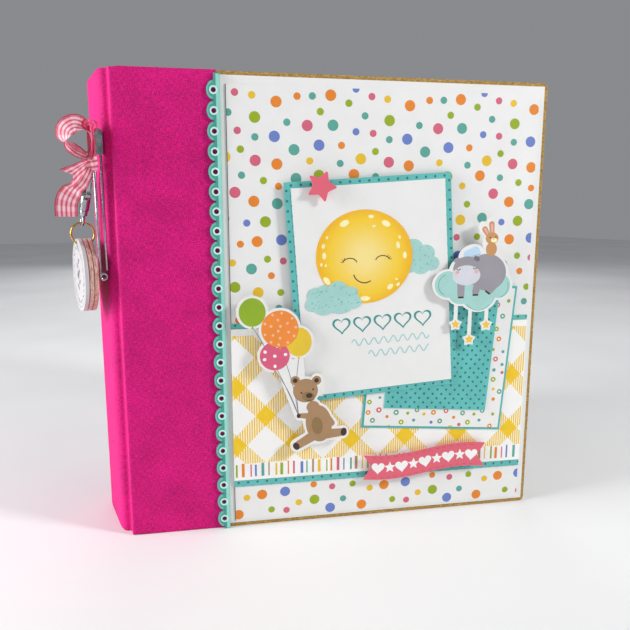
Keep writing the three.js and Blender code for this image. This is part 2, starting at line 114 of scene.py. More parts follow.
class Nodes:
    """A material under construction: each call adds a node and returns the socket that is used."""

    def __init__(self, name, roughness=0.7, **sockets):
        self.material = bpy.data.materials.new(name)
        self.material.use_nodes = True
        self.tree = self.material.node_tree
        self.shader = self.tree.nodes["Principled BSDF"]
        self.shader.inputs["Roughness"].default_value = roughness
        for key, value in sockets.items():
            self.shader.inputs[key.replace("_", " ")].default_value = value

    def add(self, kind, out=0, props=None, **inputs):
        """Adds a node; an input is named, with _ for a space, or numbered as i0, i1 and so on."""
        node = self.tree.nodes.new("ShaderNode" + kind)
        for key, value in (props or {}).items():
            setattr(node, key, value)
        for key, value in inputs.items():
            socket = node.inputs[int(key[1:])] if key[1:].isdigit() else node.inputs[key.replace("_", " ")]
            if isinstance(value, bpy.types.NodeSocket):
                self.tree.links.new(value, socket)
            else:
                socket.default_value = value
        return node.outputs[out]

    def math(self, operation, a, b=0.0):
        return self.add("Math", props={"operation": operation}, i0=a, i1=b)

    def vector(self, operation, a, b=(0, 0, 0)):
        is_length = operation == "LENGTH"
        return self.add("VectorMath", out=int(is_length), props={"operation": operation}, i0=a, i1=b)

    def weigh(self, *pairs):
        """The sum of sockets, each times its weight."""
        total = None
        for socket, weight in pairs:
            part = self.math("MULTIPLY", socket, weight)
            total = part if total is None else self.math("ADD", total, part)
        return total

    def axes(self, where):
        return [self.add("SeparateXYZ", out=i, Vector=where) for i in range(3)]

    def plan(self):
        """The piece's own plan in mm."""
        return self.add("UVMap", props={"uv_map": "plan"})

    def place(self):
        """The row frame in mm, for a piece that has no plan."""
        return self.add("Mapping", Vector=self.add("TexCoord", out=3), Scale=(1000, 1000, 1000))

    def noise(self, vector, scale, detail=3.0, stretch=(1, 1, 1), rough=0.55):
        where = self.add("Mapping", Vector=vector, Scale=stretch)
        return self.add("TexNoise", Vector=where, Scale=scale, Detail=detail, Roughness=rough)

    def ramp(self, factor, low, high):
        """Factor from 0 below low to 1 above high."""
        return self.add("MapRange", props={"interpolation_type": "SMOOTHSTEP"},
                        Value=factor, From_Min=low, From_Max=high)

    def under(self, factor, low, high):
        """Factor from 1 below low to 0 above high."""
        return self.math("SUBTRACT", 1, self.ramp(factor, low, high))

    def off_middle(self, value):
        """How far a value is from the middle of its own unit step: 0 to 0.5."""
        return self.math("ABSOLUTE", self.math("SUBTRACT", self.math("FRACT", value), 0.5))

    def mix(self, factor, a, b):
        """Colour a where factor is 0 and b where it is 1; a colour is hex, linear or a socket."""
        a, b = (srgb(c) if isinstance(c, str) else c for c in (a, b))
        return self.add("Mix", out=2, props={"data_type": "RGBA"}, i0=factor, i6=a, i7=b)

    def tint(self, value, low, high, a, b):
        """Colour a where value is below low, b where it is above high."""
        return self.mix(self.ramp(value, low, high), a, b)

    def colour(self, socket):
        self.tree.links.new(socket, self.shader.inputs["Base Color"])

    def rough(self, factor, low, high):
        value = self.add("MapRange", Value=factor, From_Min=0.3, From_Max=0.7, To_Min=low, To_Max=high)
        self.tree.links.new(value, self.shader.inputs["Roughness"])

    def bump(self, height, distance, strength=0.5):
        """distance is the relief in mm."""
        normal = self.add("Bump", Height=height, Distance=distance * MM, Strength=strength)
        self.tree.links.new(normal, self.shader.inputs["Normal"])


# ---------------------------------------------------------------- materials

PAPER_RELIEF = 0.02


def paper(name, hexcode, planned=True, vary=0.05, roughness=0.62):
    """Smooth cardstock or a flat of ink: fibres in the surface and slightly uneven colour."""
    n = Nodes(name, roughness)
    where = n.plan() if planned else n.place()
    fibre = n.noise(where, 2.2, 4, (1, 0.5, 1))
    cloud = n.noise(where, 0.07, 2)
    tone = n.weigh((fibre, 0.5), (cloud, 0.5))
    n.colour(n.tint(tone, 0.3, 0.7, shade(hexcode, 1 - vary), shade(hexcode, 1 + vary)))
    n.rough(fibre, roughness - 0.08, roughness + 0.1)
    n.bump(fibre, PAPER_RELIEF)
    return n.material


def lattice_dots(n, where, pitch, radius, soft=0.06):
    """1 inside round dots on a staggered lattice, in mm, with an edge that is twice soft wide."""
    found = []
    for shift in (0.0, 0.5):
        moved = n.add("Mapping", Vector=where, Scale=(1 / pitch, 1 / pitch, 1), Location=(shift, shift, 0))
        middle = n.vector("SUBTRACT", n.vector("FRACTION", moved), (0.5, 0.5, 0))
        far = n.vector("LENGTH", n.vector("MULTIPLY", middle, (1, 1, 0)))
        found.append(n.under(far, (radius - soft) / pitch, (radius + soft) / pitch))
    return n.math("MAXIMUM", *found)


def dotted_paper(name, ground, ink, pitch, radius, upright=False):
    """Coloured paper with small round dots; upright reads the dots in the row's X-Z plane."""
    n = Nodes(name, 0.6)
    if upright:
        x, _, z = n.axes(n.place())
        where = n.add("CombineXYZ", X=x, Y=z)
    else:
        where = n.plan()
    fibre = n.noise(where, 2.0, 4)
    cloud = n.noise(where, 0.09, 2)
    base = n.tint(cloud, 0.3, 0.7, shade(ground, 0.92), shade(ground, 1.05))
    n.colour(n.mix(lattice_dots(n, where, pitch, radius), base, ink))
    n.rough(fibre, 0.5, 0.68)
    n.bump(fibre, PAPER_RELIEF)
    return n.material


CHECK = {"x": 53.4, "y": 44.8, "width": 30, "height": 31, "hatch": 1.24}      # a crossing, and the repeats


def gingham_paper(name, upright=False):
    """Bias gingham: two families of diagonal bands, hatched once and solid where they cross."""
    n = Nodes(name, 0.62)
    where = n.place() if upright else n.plan()
    axes = n.axes(where)
    x, y = axes[0], axes[2 if upright else 1]
    u = n.math("DIVIDE", n.math("SUBTRACT", x, CHECK["x"]), CHECK["width"])
    v = n.math("DIVIDE", n.math("SUBTRACT", y, CHECK["y"]), CHECK["height"])
    bands = []
    for operation in ("ADD", "SUBTRACT"):
        off = n.off_middle(n.math("ADD", n.math(operation, u, v), 50.5))
        bands.append(n.under(off, 0.172, 0.182))
    hatch = n.under(n.off_middle(n.math("DIVIDE", x, CHECK["hatch"])), 0.26, 0.36)
    hatched = n.math("MULTIPLY", n.math("MAXIMUM", *bands), hatch)
    ink = n.math("MAXIMUM", n.math("MULTIPLY", *bands), hatched)
    fibre = n.noise(where, 2.0, 4)
    n.colour(n.mix(ink, "#F3F2EF", n.mix(n.noise(where, 0.25, 3), "#EABD08", "#F4CD1E")))
    n.rough(fibre, 0.52, 0.7)
    n.bump(fibre, PAPER_RELIEF)
    return n.material


THREAD_PITCH = 0.42


def bookcloth(name):
    """Fine plain weave with slubs both ways and a mottled dye."""
    n = Nodes(name, 0.78, Sheen_Weight=0.04, Sheen_Roughness=0.5, Specular_IOR_Level=0.2)
    where = n.plan()
    warp = n.noise(where, 1.0, 3, (3.0, 0.5, 1), 0.6)
    weft = n.noise(where, 1.0, 3, (0.5, 3.0, 1), 0.6)
    grain = n.noise(where, 1.9, 2, rough=0.7)
    cloud = n.noise(where, 0.05, 3)
    weave = n.weigh((warp, 0.35), (weft, 0.35), (grain, 0.3))
    threads = [n.math("ABSOLUTE", n.math("SINE", n.math("MULTIPLY", along, math.pi / THREAD_PITCH)))
               for along in n.axes(where)[:2]]
    thread = n.math("MULTIPLY", *threads)
    dye = n.tint(n.weigh((weave, 0.88), (cloud, 0.12)), 0.42, 0.58, "#9A0256", "#EA1284")
    n.colour(n.mix(n.math("MULTIPLY", thread, 0.16), dye, "#EC3C96"))
    n.rough(weave, 0.7, 0.9)
    n.bump(n.weigh((weave, 0.8), (thread, 0.2)), 0.16, 0.8)
    return n.material


def chipboard(name):
    """Raw kraft board: long pale and dark fibres."""
    n = Nodes(name, 0.9)
    where = n.place()
    fibre = n.noise(where, 1.6, 5, (0.35, 1, 1), 0.7)
    speck = n.noise(where, 6, 2)
    tone = n.tint(fibre, 0.35, 0.68, "#8E6A2C", "#C9A45A")
    n.colour(n.tint(speck, 0.62, 0.72, tone, "#6F4F1E"))
    n.bump(fibre, 0.08, 0.6)
    return n.material


def metal(name, hexcode, roughness):
    """Polished metal with fine handling scratches and a little tarnish."""
    n = Nodes(name, roughness, Metallic=1.0)
    where = n.place()
    scratch = n.noise(where, 1.2, 5, (6, 6, 0.5), 0.75)
    n.colour(n.tint(n.noise(where, 0.35, 3), 0.42, 0.7, hexcode, shade(hexcode, 0.72)))
    n.rough(scratch, roughness * 0.7, roughness * 1.6)
    n.bump(scratch, 0.012, 0.6)
    return n.material


def rose_wood(name):
    """A thin wooden disc, stained rose, with grain along Z."""
    n = Nodes(name, 0.45, Coat_Weight=0.25, Coat_Roughness=0.3)
    grain = n.noise(n.place(), 1.0, 5, (2.5, 1.6, 0.22), 0.65)
    n.colour(n.tint(grain, 0.35, 0.66, "#A86A5C", "#E2BFB2"))
    n.bump(grain, 0.04)
    return n.material


RIBBON_STRIPES, RIBBON_CHECK, SELVEDGE = 5, 4.6, 0.7


def ribbon_weave(name, pale, deep, dark):
    """Sheer striped ribbon: dark lines along it, faint checks across, woven selvedges."""
    n = Nodes(name, 0.6, Alpha=0.88, Sheen_Weight=0.2)
    where = n.plan()
    along, across, _ = n.axes(where)
    check = n.ramp(n.math("FRACT", n.math("DIVIDE", along, RIBBON_CHECK)), 0.44, 0.56)
    off = n.off_middle(n.math("DIVIDE", across, RIBBON_W / RIBBON_STRIPES))
    base = n.mix(n.weigh((check, 0.3), (n.under(off, 0.2, 0.32), 0.55)), pale, deep)
    inked = n.mix(n.math("MULTIPLY", n.under(off, 0.05, 0.13), 0.75), base, dark)
    from_middle = n.math("ABSOLUTE", n.math("SUBTRACT", across, RIBBON_W / 2))
    n.colour(n.tint(from_middle, RIBBON_W / 2 - SELVEDGE, RIBBON_W / 2 - SELVEDGE + 0.25, inked, "#A80F3C"))
    n.bump(n.noise(where, 3.0, 2, rough=0.6), 0.05, 0.6)
    return n.material


def moon_paper(name):
    """Printed moon: pale in the middle, deep yellow at the rim."""
    n = Nodes(name, 0.6)
    where = n.plan()
    far = n.math("DIVIDE", n.vector("LENGTH", n.vector("SUBTRACT", where, (*MOON, 0))), MOON_RX)
    grain = n.noise(where, 1.4, 4, rough=0.7)
    wobble = n.math("ADD", far, n.math("MULTIPLY", n.math("SUBTRACT", grain, 0.5), 0.35))
    middle = n.tint(wobble, 0.05, 0.8, "#F6E08E", "#F4CB2E")
    n.colour(n.tint(wobble, 0.7, 1.0, middle, "#F0B417"))
    n.bump(grain, PAPER_RELIEF)
    return n.material


def foam(name):
    n = Nodes(name, 0.95)
    cells = n.noise(n.place(), 2.5, 3)
    n.colour(n.tint(cells, 0.35, 0.65, "#D9D6CE", "#F6F4EE"))
    n.bump(cells, 0.15, 0.7)
    return n.material


INK_COLOURS = {
    "pink": "#D25F79", "orange": "#E4831F", "yellow": "#E6BC22", "green": "#93AB0E",
    "aqua": "#55A396", "blue": "#667DC2", "mint": "#A3D2CB", "mint_dark": "#62ABA2",
    "mint_pale": "#C9EDE6", "mint_light": "#93D6CB", "scallop_rim": "#63BAAB", "cream": "#FBF0B8",
    "ink_line": "#3A342E", "deep_teal": "#2F8F8B", "soft_teal": "#9CCBC8", "white": "#F4F3F0",
    "brown": "#A8845F", "paw": "#3C2A22", "tan": "#8F7248", "grey": "#98949C", "grey_dark": "#6E6A74",
    "muzzle": "#D5D6DE", "cap": "#BBD9EE", "star_gold": "#F1C445", "coral_dark": "#B9475C",
    "bunny": "#C8925C", "blush": "#E9A9A0", "balloon_green": "#8DAE1E", "balloon_orange": "#EE8A35",
    "balloon_yellow": "#E4C22E", "peach": "#F2BE94", "balloon_pink": "#D85A7C", "pale_grey": "#9A9C9E",
    "charm_ink": "#6E6C70",
}
INK = {key: paper("ink_" + key, code, vary=0.07) for key, code in INK_COLOURS.items()}
WHITE = paper("white_cardstock", "#E9E9E7", vary=0.025)
WHITE_CAD = paper("white_cardstock_plain", "#EFEEEA", planned=False, vary=0.025)
CORAL = paper("coral_cardstock", "#DE6074")
MINT_STRIP = paper("scallop_cardstock", "#3C9B8D", vary=0.08)
TEAL = dotted_paper("teal_dotted_paper", "#5DB9B4", "#147278", 4.9, 0.64)
TEAL_PLAIN = paper("teal_cardstock", "#4FB3AE")
GINGHAM = gingham_paper("yellow_gingham_paper")
MOON_PAPER = moon_paper("moon_paper")
BOOKCLOTH = bookcloth("magenta_bookcloth")
KRAFT = chipboard("kraft_chipboard")
STEEL = metal("polished_steel", "#A6A8AC", 0.16)
GOLD = metal("gold_plate", "#D9B45C", 0.22)
ROSE = rose_wood("rose_wood")
# The white charm's colour is set grey: painted shade for the dimmer light on its face.
CHARM_SHADED_WHITE = paper("charm_enamel_painted_shade", "#C2BEC0", planned=False, vary=0.03, roughness=0.35)
RIBBON = ribbon_weave("gingham_ribbon", "#F9CBD8", "#E22A5C", "#A00A38")
# The same ribbon in deeper colours: painted shade, for the small loop that lies in shadow.
RIBBON_PAINTED_SHADE = ribbon_weave("gingham_ribbon_shaded", "#F0508C", "#D8145E", "#9A0A44")
FOAM = foam("foam_tape")


# ---------------------------------------------------------------- mesh helpers

def in_scene(name, data):
    """A new object in the scene."""
    made = bpy.data.objects.new(name, data)
    bpy.context.scene.collection.objects.link(made)
    return made


def finish_piece(name, mesh, materials, body, slot, nodes=(), smooth=False):
    """A finished mesh as a piece of the part: its materials, CAD nodes and body; slot is not used."""
    piece = in_scene(name, mesh)
    for material in materials:
        mesh.materials.append(material)
    for polygon in mesh.polygons:
        polygon.use_smooth = smooth
    if nodes:
        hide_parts(*nodes)
    if body:
        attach(piece, body)
    return piece


def set_plan(mesh):
    """Writes each corner's plan in mm from its local position, before the mesh is placed."""
    layer = mesh.uv_layers.new(name="plan")
    for loop in mesh.loops:
        layer.data[loop.index].uv = mesh.vertices[loop.vertex_index].co.xy


def settle(mesh, plane, base=0.0, spin=None):
    """Moves a mesh onto its plane; spin is where its own centre goes and how far it turns."""
    if spin:
        (x, y), angle = spin
        mesh.transform(Matrix.Translation((x, y, 0)) @ Matrix.Rotation(angle, 4, "Z"))
    mesh.transform(plane @ Matrix.Translation((0, 0, base)))
    if plane.determinant() < 0:
        mesh.flip_normals()


def mesh_of(shape, name):
    mesh = bpy.data.meshes.new(name)
    shape.to_mesh(mesh)
    shape.free()
    return mesh


def weld(mesh, distance=1e-4):
    shape = bmesh.new()
    shape.from_mesh(mesh)
    bmesh.ops.remove_doubles(shape, verts=shape.verts, dist=distance)
    bmesh.ops.recalc_face_normals(shape, faces=shape.faces)
    shape.to_mesh(mesh)
    shape.free()


def evaluated(holder, name):
    """The mesh that an object's curve or modifiers give; the object is used up."""
    bpy.context.scene.collection.objects.link(holder)
    bpy.context.view_layer.update()
    mesh = bpy.data.meshes.new_from_object(holder.evaluated_get(bpy.context.evaluated_depsgraph_get()))
    bpy.data.objects.remove(holder)
    mesh.name = name
    return mesh


def edge_bevel(holder, width, segments, angle):
    modifier = holder.modifiers.new("edges", "BEVEL")
    modifier.width = width
    modifier.segments = segments
    modifier.limit_method = "ANGLE"
    modifier.angle_limit = math.radians(angle)


def skin(name, grid, plan, flip=False):
    """A mesh over rows of points in the row frame's mm; plan(i, j) is a point's place on the flat sheet."""
    shape = bmesh.new()
    layer = shape.loops.layers.uv.new("plan")
    verts = [[shape.verts.new(point * MM) for point in row] for row in grid]
    for i in range(len(grid) - 1):
        for j in range(len(grid[0]) - 1):
            corners = [(i, j), (i + 1, j), (i + 1, j + 1), (i, j + 1)]
            if flip:
                corners.reverse()
            face = shape.faces.new([verts[a][b] for a, b in corners])
            for loop, corner in zip(face.loops, corners):
                loop[layer].uv = plan(*corner)
    return mesh_of(shape, name)


def running_lengths(path):
    lengths = [0.0]
    for a, b in zip(path, path[1:]):
        lengths.append(lengths[-1] + (b - a).length)
    return lengths


def ellipse(x, y, rx, ry=None, tilt=0, count=40):
    ry = ry or rx
    c, s = math.cos(math.radians(tilt)), math.sin(math.radians(tilt))
    ring = [(rx * math.cos(TAU * i / count), ry * math.sin(TAU * i / count)) for i in range(count)]
    return [(x + c * u - s * v, y + s * u + c * v) for u, v in ring]


def bar(x0, y0, x1, y1, r, r1=None, count=10):
    """A round-ended bar, thinner or fatter at its far end if r1 is given."""
    r1 = r1 or r
    across = math.atan2(y1 - y0, x1 - x0) - math.pi / 2
    near = [across + math.pi + math.pi * i / count for i in range(count + 1)]
    far = [across + math.pi * i / count for i in range(count + 1)]
    return ([(x0 + r * math.cos(a), y0 + r * math.sin(a)) for a in near]
            + [(x1 + r1 * math.cos(a), y1 + r1 * math.sin(a)) for a in far])


def star(x, y, outer, inner, turn, points=5):
    made = []
    for i in range(2 * points):
        a, r = turn + i * math.pi / points, inner if i % 2 else outer
        made.append((x + r * math.cos(a), y + r * math.sin(a)))
    return made


def heart(x, y, size, tilt=0, count=36):
    c, s = math.cos(math.radians(tilt)), math.sin(math.radians(tilt))
    made = []
    for i in range(count):
        t = TAU * i / count
        u = 16 * math.sin(t) ** 3 * size / 32
        v = (13 * math.cos(t) - 5 * math.cos(2 * t) - 2 * math.cos(3 * t) - math.cos(4 * t)) * size / 32
        made.append((x + c * u - s * v, y + s * u + c * v))
    return made[::-1]


def stroke(points, width):
    """A pen line of even width as an outline."""
    left, right = [], []
    for i, p in enumerate(points):
        a, b = Vector(points[max(0, i - 1)]), Vector(points[min(len(points) - 1, i + 1)])
        d = (b - a).normalized() * width / 2
        left.append((p[0] - d.y, p[1] + d.x))
        right.append((p[0] + d.y, p[1] - d.x))
    return right + left[::-1]


def arc(x, y, r, start, end, count=14):
    angles = [math.radians(start + (end - start) * i / count) for i in range(count + 1)]
    return [(x + r * math.cos(a), y + r * math.sin(a)) for a in angles]


def clip(points, box):
    """The part of a convex outline inside a rectangle."""
    x0, y0, x1, y1 = box
    for axis, limit, keep_low in ((0, x0, False), (0, x1, True), (1, y0, False), (1, y1, True)):
        kept = []
        for i, p in enumerate(points):
            q = points[i - 1]
            p_in = p[axis] <= limit if keep_low else p[axis] >= limit
            q_in = q[axis] <= limit if keep_low else q[axis] >= limit
            if p_in != q_in:
                t = (limit - q[axis]) / (p[axis] - q[axis])
                kept.append((q[0] + t * (p[0] - q[0]), q[1] + t * (p[1] - q[1])))
            if p_in:
                kept.append(p)
        points = kept
        if len(points) < 3:
            return []
    return points


def turned(points, centre, angle):
    """Points of a piece laid out about its own centre, turned and moved onto the cover."""
    c, s = math.cos(angle), math.sin(angle)
    return [(centre[0] + c * x - s * y, centre[1] + s * x + c * y) for x, y in points]


def sheet_mesh(name, loops, base, thick, plane=FRONT, bevel=0.03, spin=None):
    """Paper cut to an outline, with holes where further loops lie inside it."""
    curve = bpy.data.curves.new(name, "CURVE")
    curve.dimensions = "2D"
    curve.fill_mode = "BOTH"
    curve.extrude = thick / 2 - bevel
    curve.bevel_depth = bevel
    curve.bevel_resolution = 1
    for points in loops:
        spline = curve.splines.new("POLY")
        spline.points.add(len(points) - 1)
        for target, (x, y) in zip(spline.points, points):
            target.co = (x, y, 0, 1)
        spline.use_cyclic_u = True
    mesh = evaluated(bpy.data.objects.new(name + "_outline", curve), name)
    bpy.data.curves.remove(curve)
    weld(mesh)
    set_plan(mesh)
    settle(mesh, plane, base + thick / 2, spin)
    return mesh


def paper_piece(name, outline, base, material, slot, nodes=(), body="front_cover", plane=FRONT,
                thick=PAPER + GAP, spin=None):
    """A sheet of paper that fills its CAD node's place and the glue line below it."""
    loops = outline if isinstance(outline[0], list) else [outline]
    mesh = sheet_mesh(name, loops, base - GAP, thick, plane, spin=spin)
    finish_piece(name, mesh, [material], body, slot, nodes)


def rectangle(x0, y0, x1, y1, corner=0.0):
    if not corner:
        return [(x0, y0), (x1, y0), (x1, y1), (x0, y1)]
    made = []
    for x, y, a in ((x1 - corner, y0 + corner, -90), (x1 - corner, y1 - corner, 0),
                    (x0 + corner, y1 - corner, 90), (x0 + corner, y0 + corner, 180)):
        made += arc(x, y, corner, a, a + 90, 4)
    return made


INK_STEP, SAME_INK = 0.012, 0.4             # how much an overlap raises a mark; the share if colours match
INK_FILM, INK_SINK = 0.02, 0.01


def inked(colour, *outlines):
    """Marks of one colour."""
    return [(points, colour) for points in outlines]


def print_piece(name, marks, base, body="front_cover", plane=FRONT, slot="sticker_paper", spin=None):
    """Printed marks as thin films of ink, (outline, colour), each laid over the ones it meets."""
    shape = bmesh.new()
    keys = sorted({colour for _, colour in marks})
    laid = []
    for points, colour in marks:
        if len(points) < 3:
            continue
        xs, ys = zip(*points)
        box = (min(xs), min(ys), max(xs), max(ys))
        layer = 0
        for (x0, y0, x1, y1), height, other in laid:
            if x0 < box[2] and x1 > box[0] and y0 < box[3] and y1 > box[1]:
                layer = max(layer, height + (SAME_INK if other == colour else 1))
        laid.append((box, layer, colour))
        low, high = ([shape.verts.new((x, y, z)) for x, y in points]
                     for z in (base - INK_SINK, base + INK_FILM + INK_STEP * layer))
        faces = [shape.faces.new(high), shape.faces.new(low[::-1])]
        faces += [shape.faces.new((low[i - 1], low[i], high[i], high[i - 1])) for i in range(len(points))]
        for face in faces:
            face.material_index = keys.index(colour)
    mesh = mesh_of(shape, name)
    set_plan(mesh)
    settle(mesh, plane, spin=spin)
    finish_piece(name, mesh, [INK[key] for key in keys], body, slot)


def slab(outline, thick, name):
    """An outline raised into a closed solid, as an object that isn't in the scene yet."""
    shape = bmesh.new()
    face = shape.faces.new([shape.verts.new((x, y, 0)) for x, y in outline])
    made = bmesh.ops.extrude_face_region(shape, geom=[face])
    up = [v for v in made["geom"] if isinstance(v, bmesh.types.BMVert)]
    bmesh.ops.translate(shape, verts=up, vec=(0, 0, thick))
    bmesh.ops.recalc_face_normals(shape, faces=shape.faces)
    return bpy.data.objects.new(name, mesh_of(shape, name))


def union_sheet(name, outlines, base, thick, plane=FRONT, bevel=0.06):
    """One sheet of cardstock cut to the shape that several outlines cover together."""
    first, *others = [slab(points, thick, name + "_part") for points in outlines]
    group = bpy.data.collections.new(name + "_parts")
    for part in others:
        group.objects.link(part)
    bpy.context.scene.collection.children.link(group)
    boolean = first.modifiers.new("union", "BOOLEAN")
    boolean.operation = "UNION"
    boolean.solver = "EXACT"
    boolean.operand_type = "COLLECTION"
    boolean.collection = group
    edge_bevel(first, bevel, 1, 50)
    mesh = evaluated(first, name)
    for part in others:
        bpy.data.objects.remove(part)
    bpy.data.collections.remove(group)
    set_plan(mesh)
    settle(mesh, plane, base)
    return mesh


def refined(node, body, material, slot, bevel=0.15, segments=2):
    """A CAD node's shape with softened edges and a smooth round surface."""
    mesh = frame["nodes"][node].data.copy()
    mesh.transform(frame["nodes"][node].matrix_world)
    mesh.materials.clear()
    weld(mesh, 1e-7)
    holder = bpy.data.objects.new(node + "_soft", mesh)
    edge_bevel(holder, bevel * MM, segments, 45)
    done = evaluated(holder, node + "_fine")
    finish_piece(node + "_fine", done, [material], body, slot, [node], smooth=True)
    for edge in done.edges:
        edge.use_edge_sharp = False


# ---------------------------------------------------------------- bookcloth

def catmull(points, per_span):
    """A smooth path through points."""
    made = []
    padded_points = [points[0]] + list(points) + [points[-1]]
    for i in range(1, len(padded_points) - 2):
        p0, p1, p2, p3 = (Vector(p) for p in padded_points[i - 1:i + 3])
        for k in range(per_span):
            t = k / per_span
            made.append(0.5 * (2 * p1 + (p2 - p0) * t + (2 * p0 - 5 * p1 + 4 * p2 - p3) * t * t
                               + (3 * p1 - p0 - 3 * p2 + p3) * t ** 3))
    made.append(Vector(points[-1]))
    return made


CLOTH_END, TURN_IN = 47.5, 2.6
WRAP = BOARD + 2 * CLOTH                    # how far the cloth goes round a board's end
CLOTH_TOP = COVER_H + 0.35
CORNER_AT, CORNER_DROP = 28.6, 0.55         # the rounded corners of the covers at the gutter
GUTTER_Y, GUTTER_LENGTH, GUTTER_DEPTH = 17.6, 28, 0.35      # where the gutter is, and its share of the turn-in
BEND = ((0.9, 17.4), (4.1, 24.6))           # where the cloth starts and stops bending, from the spine's face

# The cloth's rows at one end of a board: how far in from its outside, and how far from the board's end.
END_ROWS = [(WRAP, 0.5), (WRAP - 0.4, 0.05), (WRAP / 2, 0.0)]
FOOT_ROWS = [(WRAP, TURN_IN), *END_ROWS, (0.5, 0.02), (0.08, 0.45), (0.0, 1.6), (0.0, 4)]
HEAD_ROWS = [(0.0, 1.6), (0.08, 0.5), (0.5, 0.05), *END_ROWS[::-1]]


def cloth_path(side):
    """The bookcloth's outside line in plan, from the middle of the spine to under the border."""
    def on_cover(u, lift):
        p = cover_plane(side) @ Vector((u, 0, lift))
        return (p.x / MM - SPINE_FACE, p.y / MM)
    face = CLOTH + GAP
    spine = [(0, 0), (0, 5), (0, 10), (0.06, 13.4), (0.28, 15.9), (0.66, 17.4)]
    gutter = [(1.35, 18.8), (2.35, 19.75), (3.6, 20.4), (4.25, 21.4)]
    climb = [(-0.85, -1.9), (-0.72, -0.7), (-0.2, 0.25), (0.7, face - 0.06)]
    cover = [(u, face) for u in (2, 6, 14, 22, 30, 38, CLOTH_END)]
    places = [(x, side * y) for x, y in spine + gutter] + [on_cover(u, lift) for u, lift in climb + cover]
    return catmull([Vector((*p, 0)) for p in places], 4)


def bookcloth_half(name, side, nodes):
    """One half of the bookcloth: spine, gutter and cover, turned in over the boards' ends."""
    path = cloth_path(side)
    lengths = running_lengths(path)
    rows = FOOT_ROWS + [(0.0, 4 + (COVER_H - 8) * k / 30) for k in range(1, 31)]
    rows += [(inset, CLOTH_TOP - z) for inset, z in HEAD_ROWS] + [(WRAP, COVER_H - TURN_IN)]
    grid = []
    for i, p in enumerate(path):
        a, b = path[max(0, i - 1)], path[min(len(path) - 1, i + 1)]
        along = (b - a).normalized()
        inward = Vector((along.y, -along.x, 0)) * side
        in_gutter = abs(p.y) > GUTTER_Y and lengths[i] < GUTTER_LENGTH
        depth = GUTTER_DEPTH if in_gutter else 1.0
        corner = max(0.0, 1 - abs(lengths[i] - CORNER_AT) / 3.5) ** 2 * CORNER_DROP
        column = []
        for inset, z in rows:
            q = p + inward * inset * depth
            if inset == 0:
                q -= inward * 0.05 * noise.noise(Vector((lengths[i] * 0.12, z * 0.07, side * 3.0)))
            z += corner * ((1 - z / COVER_H) ** 12 - (z / CLOTH_TOP) ** 12)
            column.append(Vector((q.x + SPINE_FACE, q.y, z)))
        grid.append(column)

    def flat_place(i, j):
        turn = -WRAP if j < 4 else WRAP if j > len(rows) - 5 else 0
        return side * lengths[i], rows[j][1] + turn
    mesh = skin(name, grid, flat_place, flip=side > 0)
    piece = finish_piece(name, mesh, [BOOKCLOTH], None, "bookcloth", nodes, smooth=True)
    start, end = (((x + SPINE_FACE) * MM, side * y * MM, 0.1) for x, y in BEND)
    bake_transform(piece)
    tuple(start)
    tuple(end)


EASE = 0.35                                 # how far the boards' edges are eased


def boards():
    refined("spine_board", "spine", KRAFT, "chipboard", bevel=EASE)
    for place, plane in (("front", FRONT), ("back", BACK)):
        name = f"{place}_board_rounded"
        outline = rectangle(EASE, EASE, COVER_W - EASE, COVER_H - EASE, 2)
        mesh = sheet_mesh(name, [outline], -BOARD, BOARD, plane, bevel=EASE)
        finish_piece(name, mesh, [KRAFT], f"{place}_cover", "chipboard", [f"{place}_board"])


# ---------------------------------------------------------------- cover papers

BORDER_THICK = 1.1
EDGE_SHADOW_WIDTH = 0.3                              # width of a dark line of painted shadow down the dotted paper's spine side
SCALLOP = {"left": 42.9, "root": 46.3, "right": 49.1, "pitch": 9.3, "hole": 1.15, "first": 5.7,
           "gap": 0.35, "ring": 2.0, "rim": (2.55, 3.35)}


def stretched(points, y):
    """A scallop is a little taller than it is wide."""
    tall = (SCALLOP["pitch"] / 2 - SCALLOP["gap"]) / (SCALLOP["root"] - SCALLOP["left"])
    return [(px, y + (py - y) * tall) for px, py in points]


def scallop_loops():
    root, right, pitch = (SCALLOP[key] for key in ("root", "right", "pitch"))
    count = int((COVER_H - SCALLOP["first"] - pitch / 2) // pitch) + 1
    top = COVER_H - 1.5
    edge, holes = [(right, top), (root, top)], []
    for k in reversed(range(count)):
        y = SCALLOP["first"] + k * pitch
        edge += stretched(arc(root, y, root - SCALLOP["left"], 90, 270), y)
        holes.append(ellipse(root - 0.1, y, SCALLOP["hole"], count=20))
    return edge + [(root, 0), (right, 0)], holes


def annulus_marks(x, y, outer, inner, colour, count=24):
    """A ring as two half outlines, so that each is a simple shape."""
    return inked(colour, *[arc(x, y, outer, start, start + 180, count // 2)
                           + arc(x, y, inner, start + 180, start, count // 2) for start in (0, 180)])


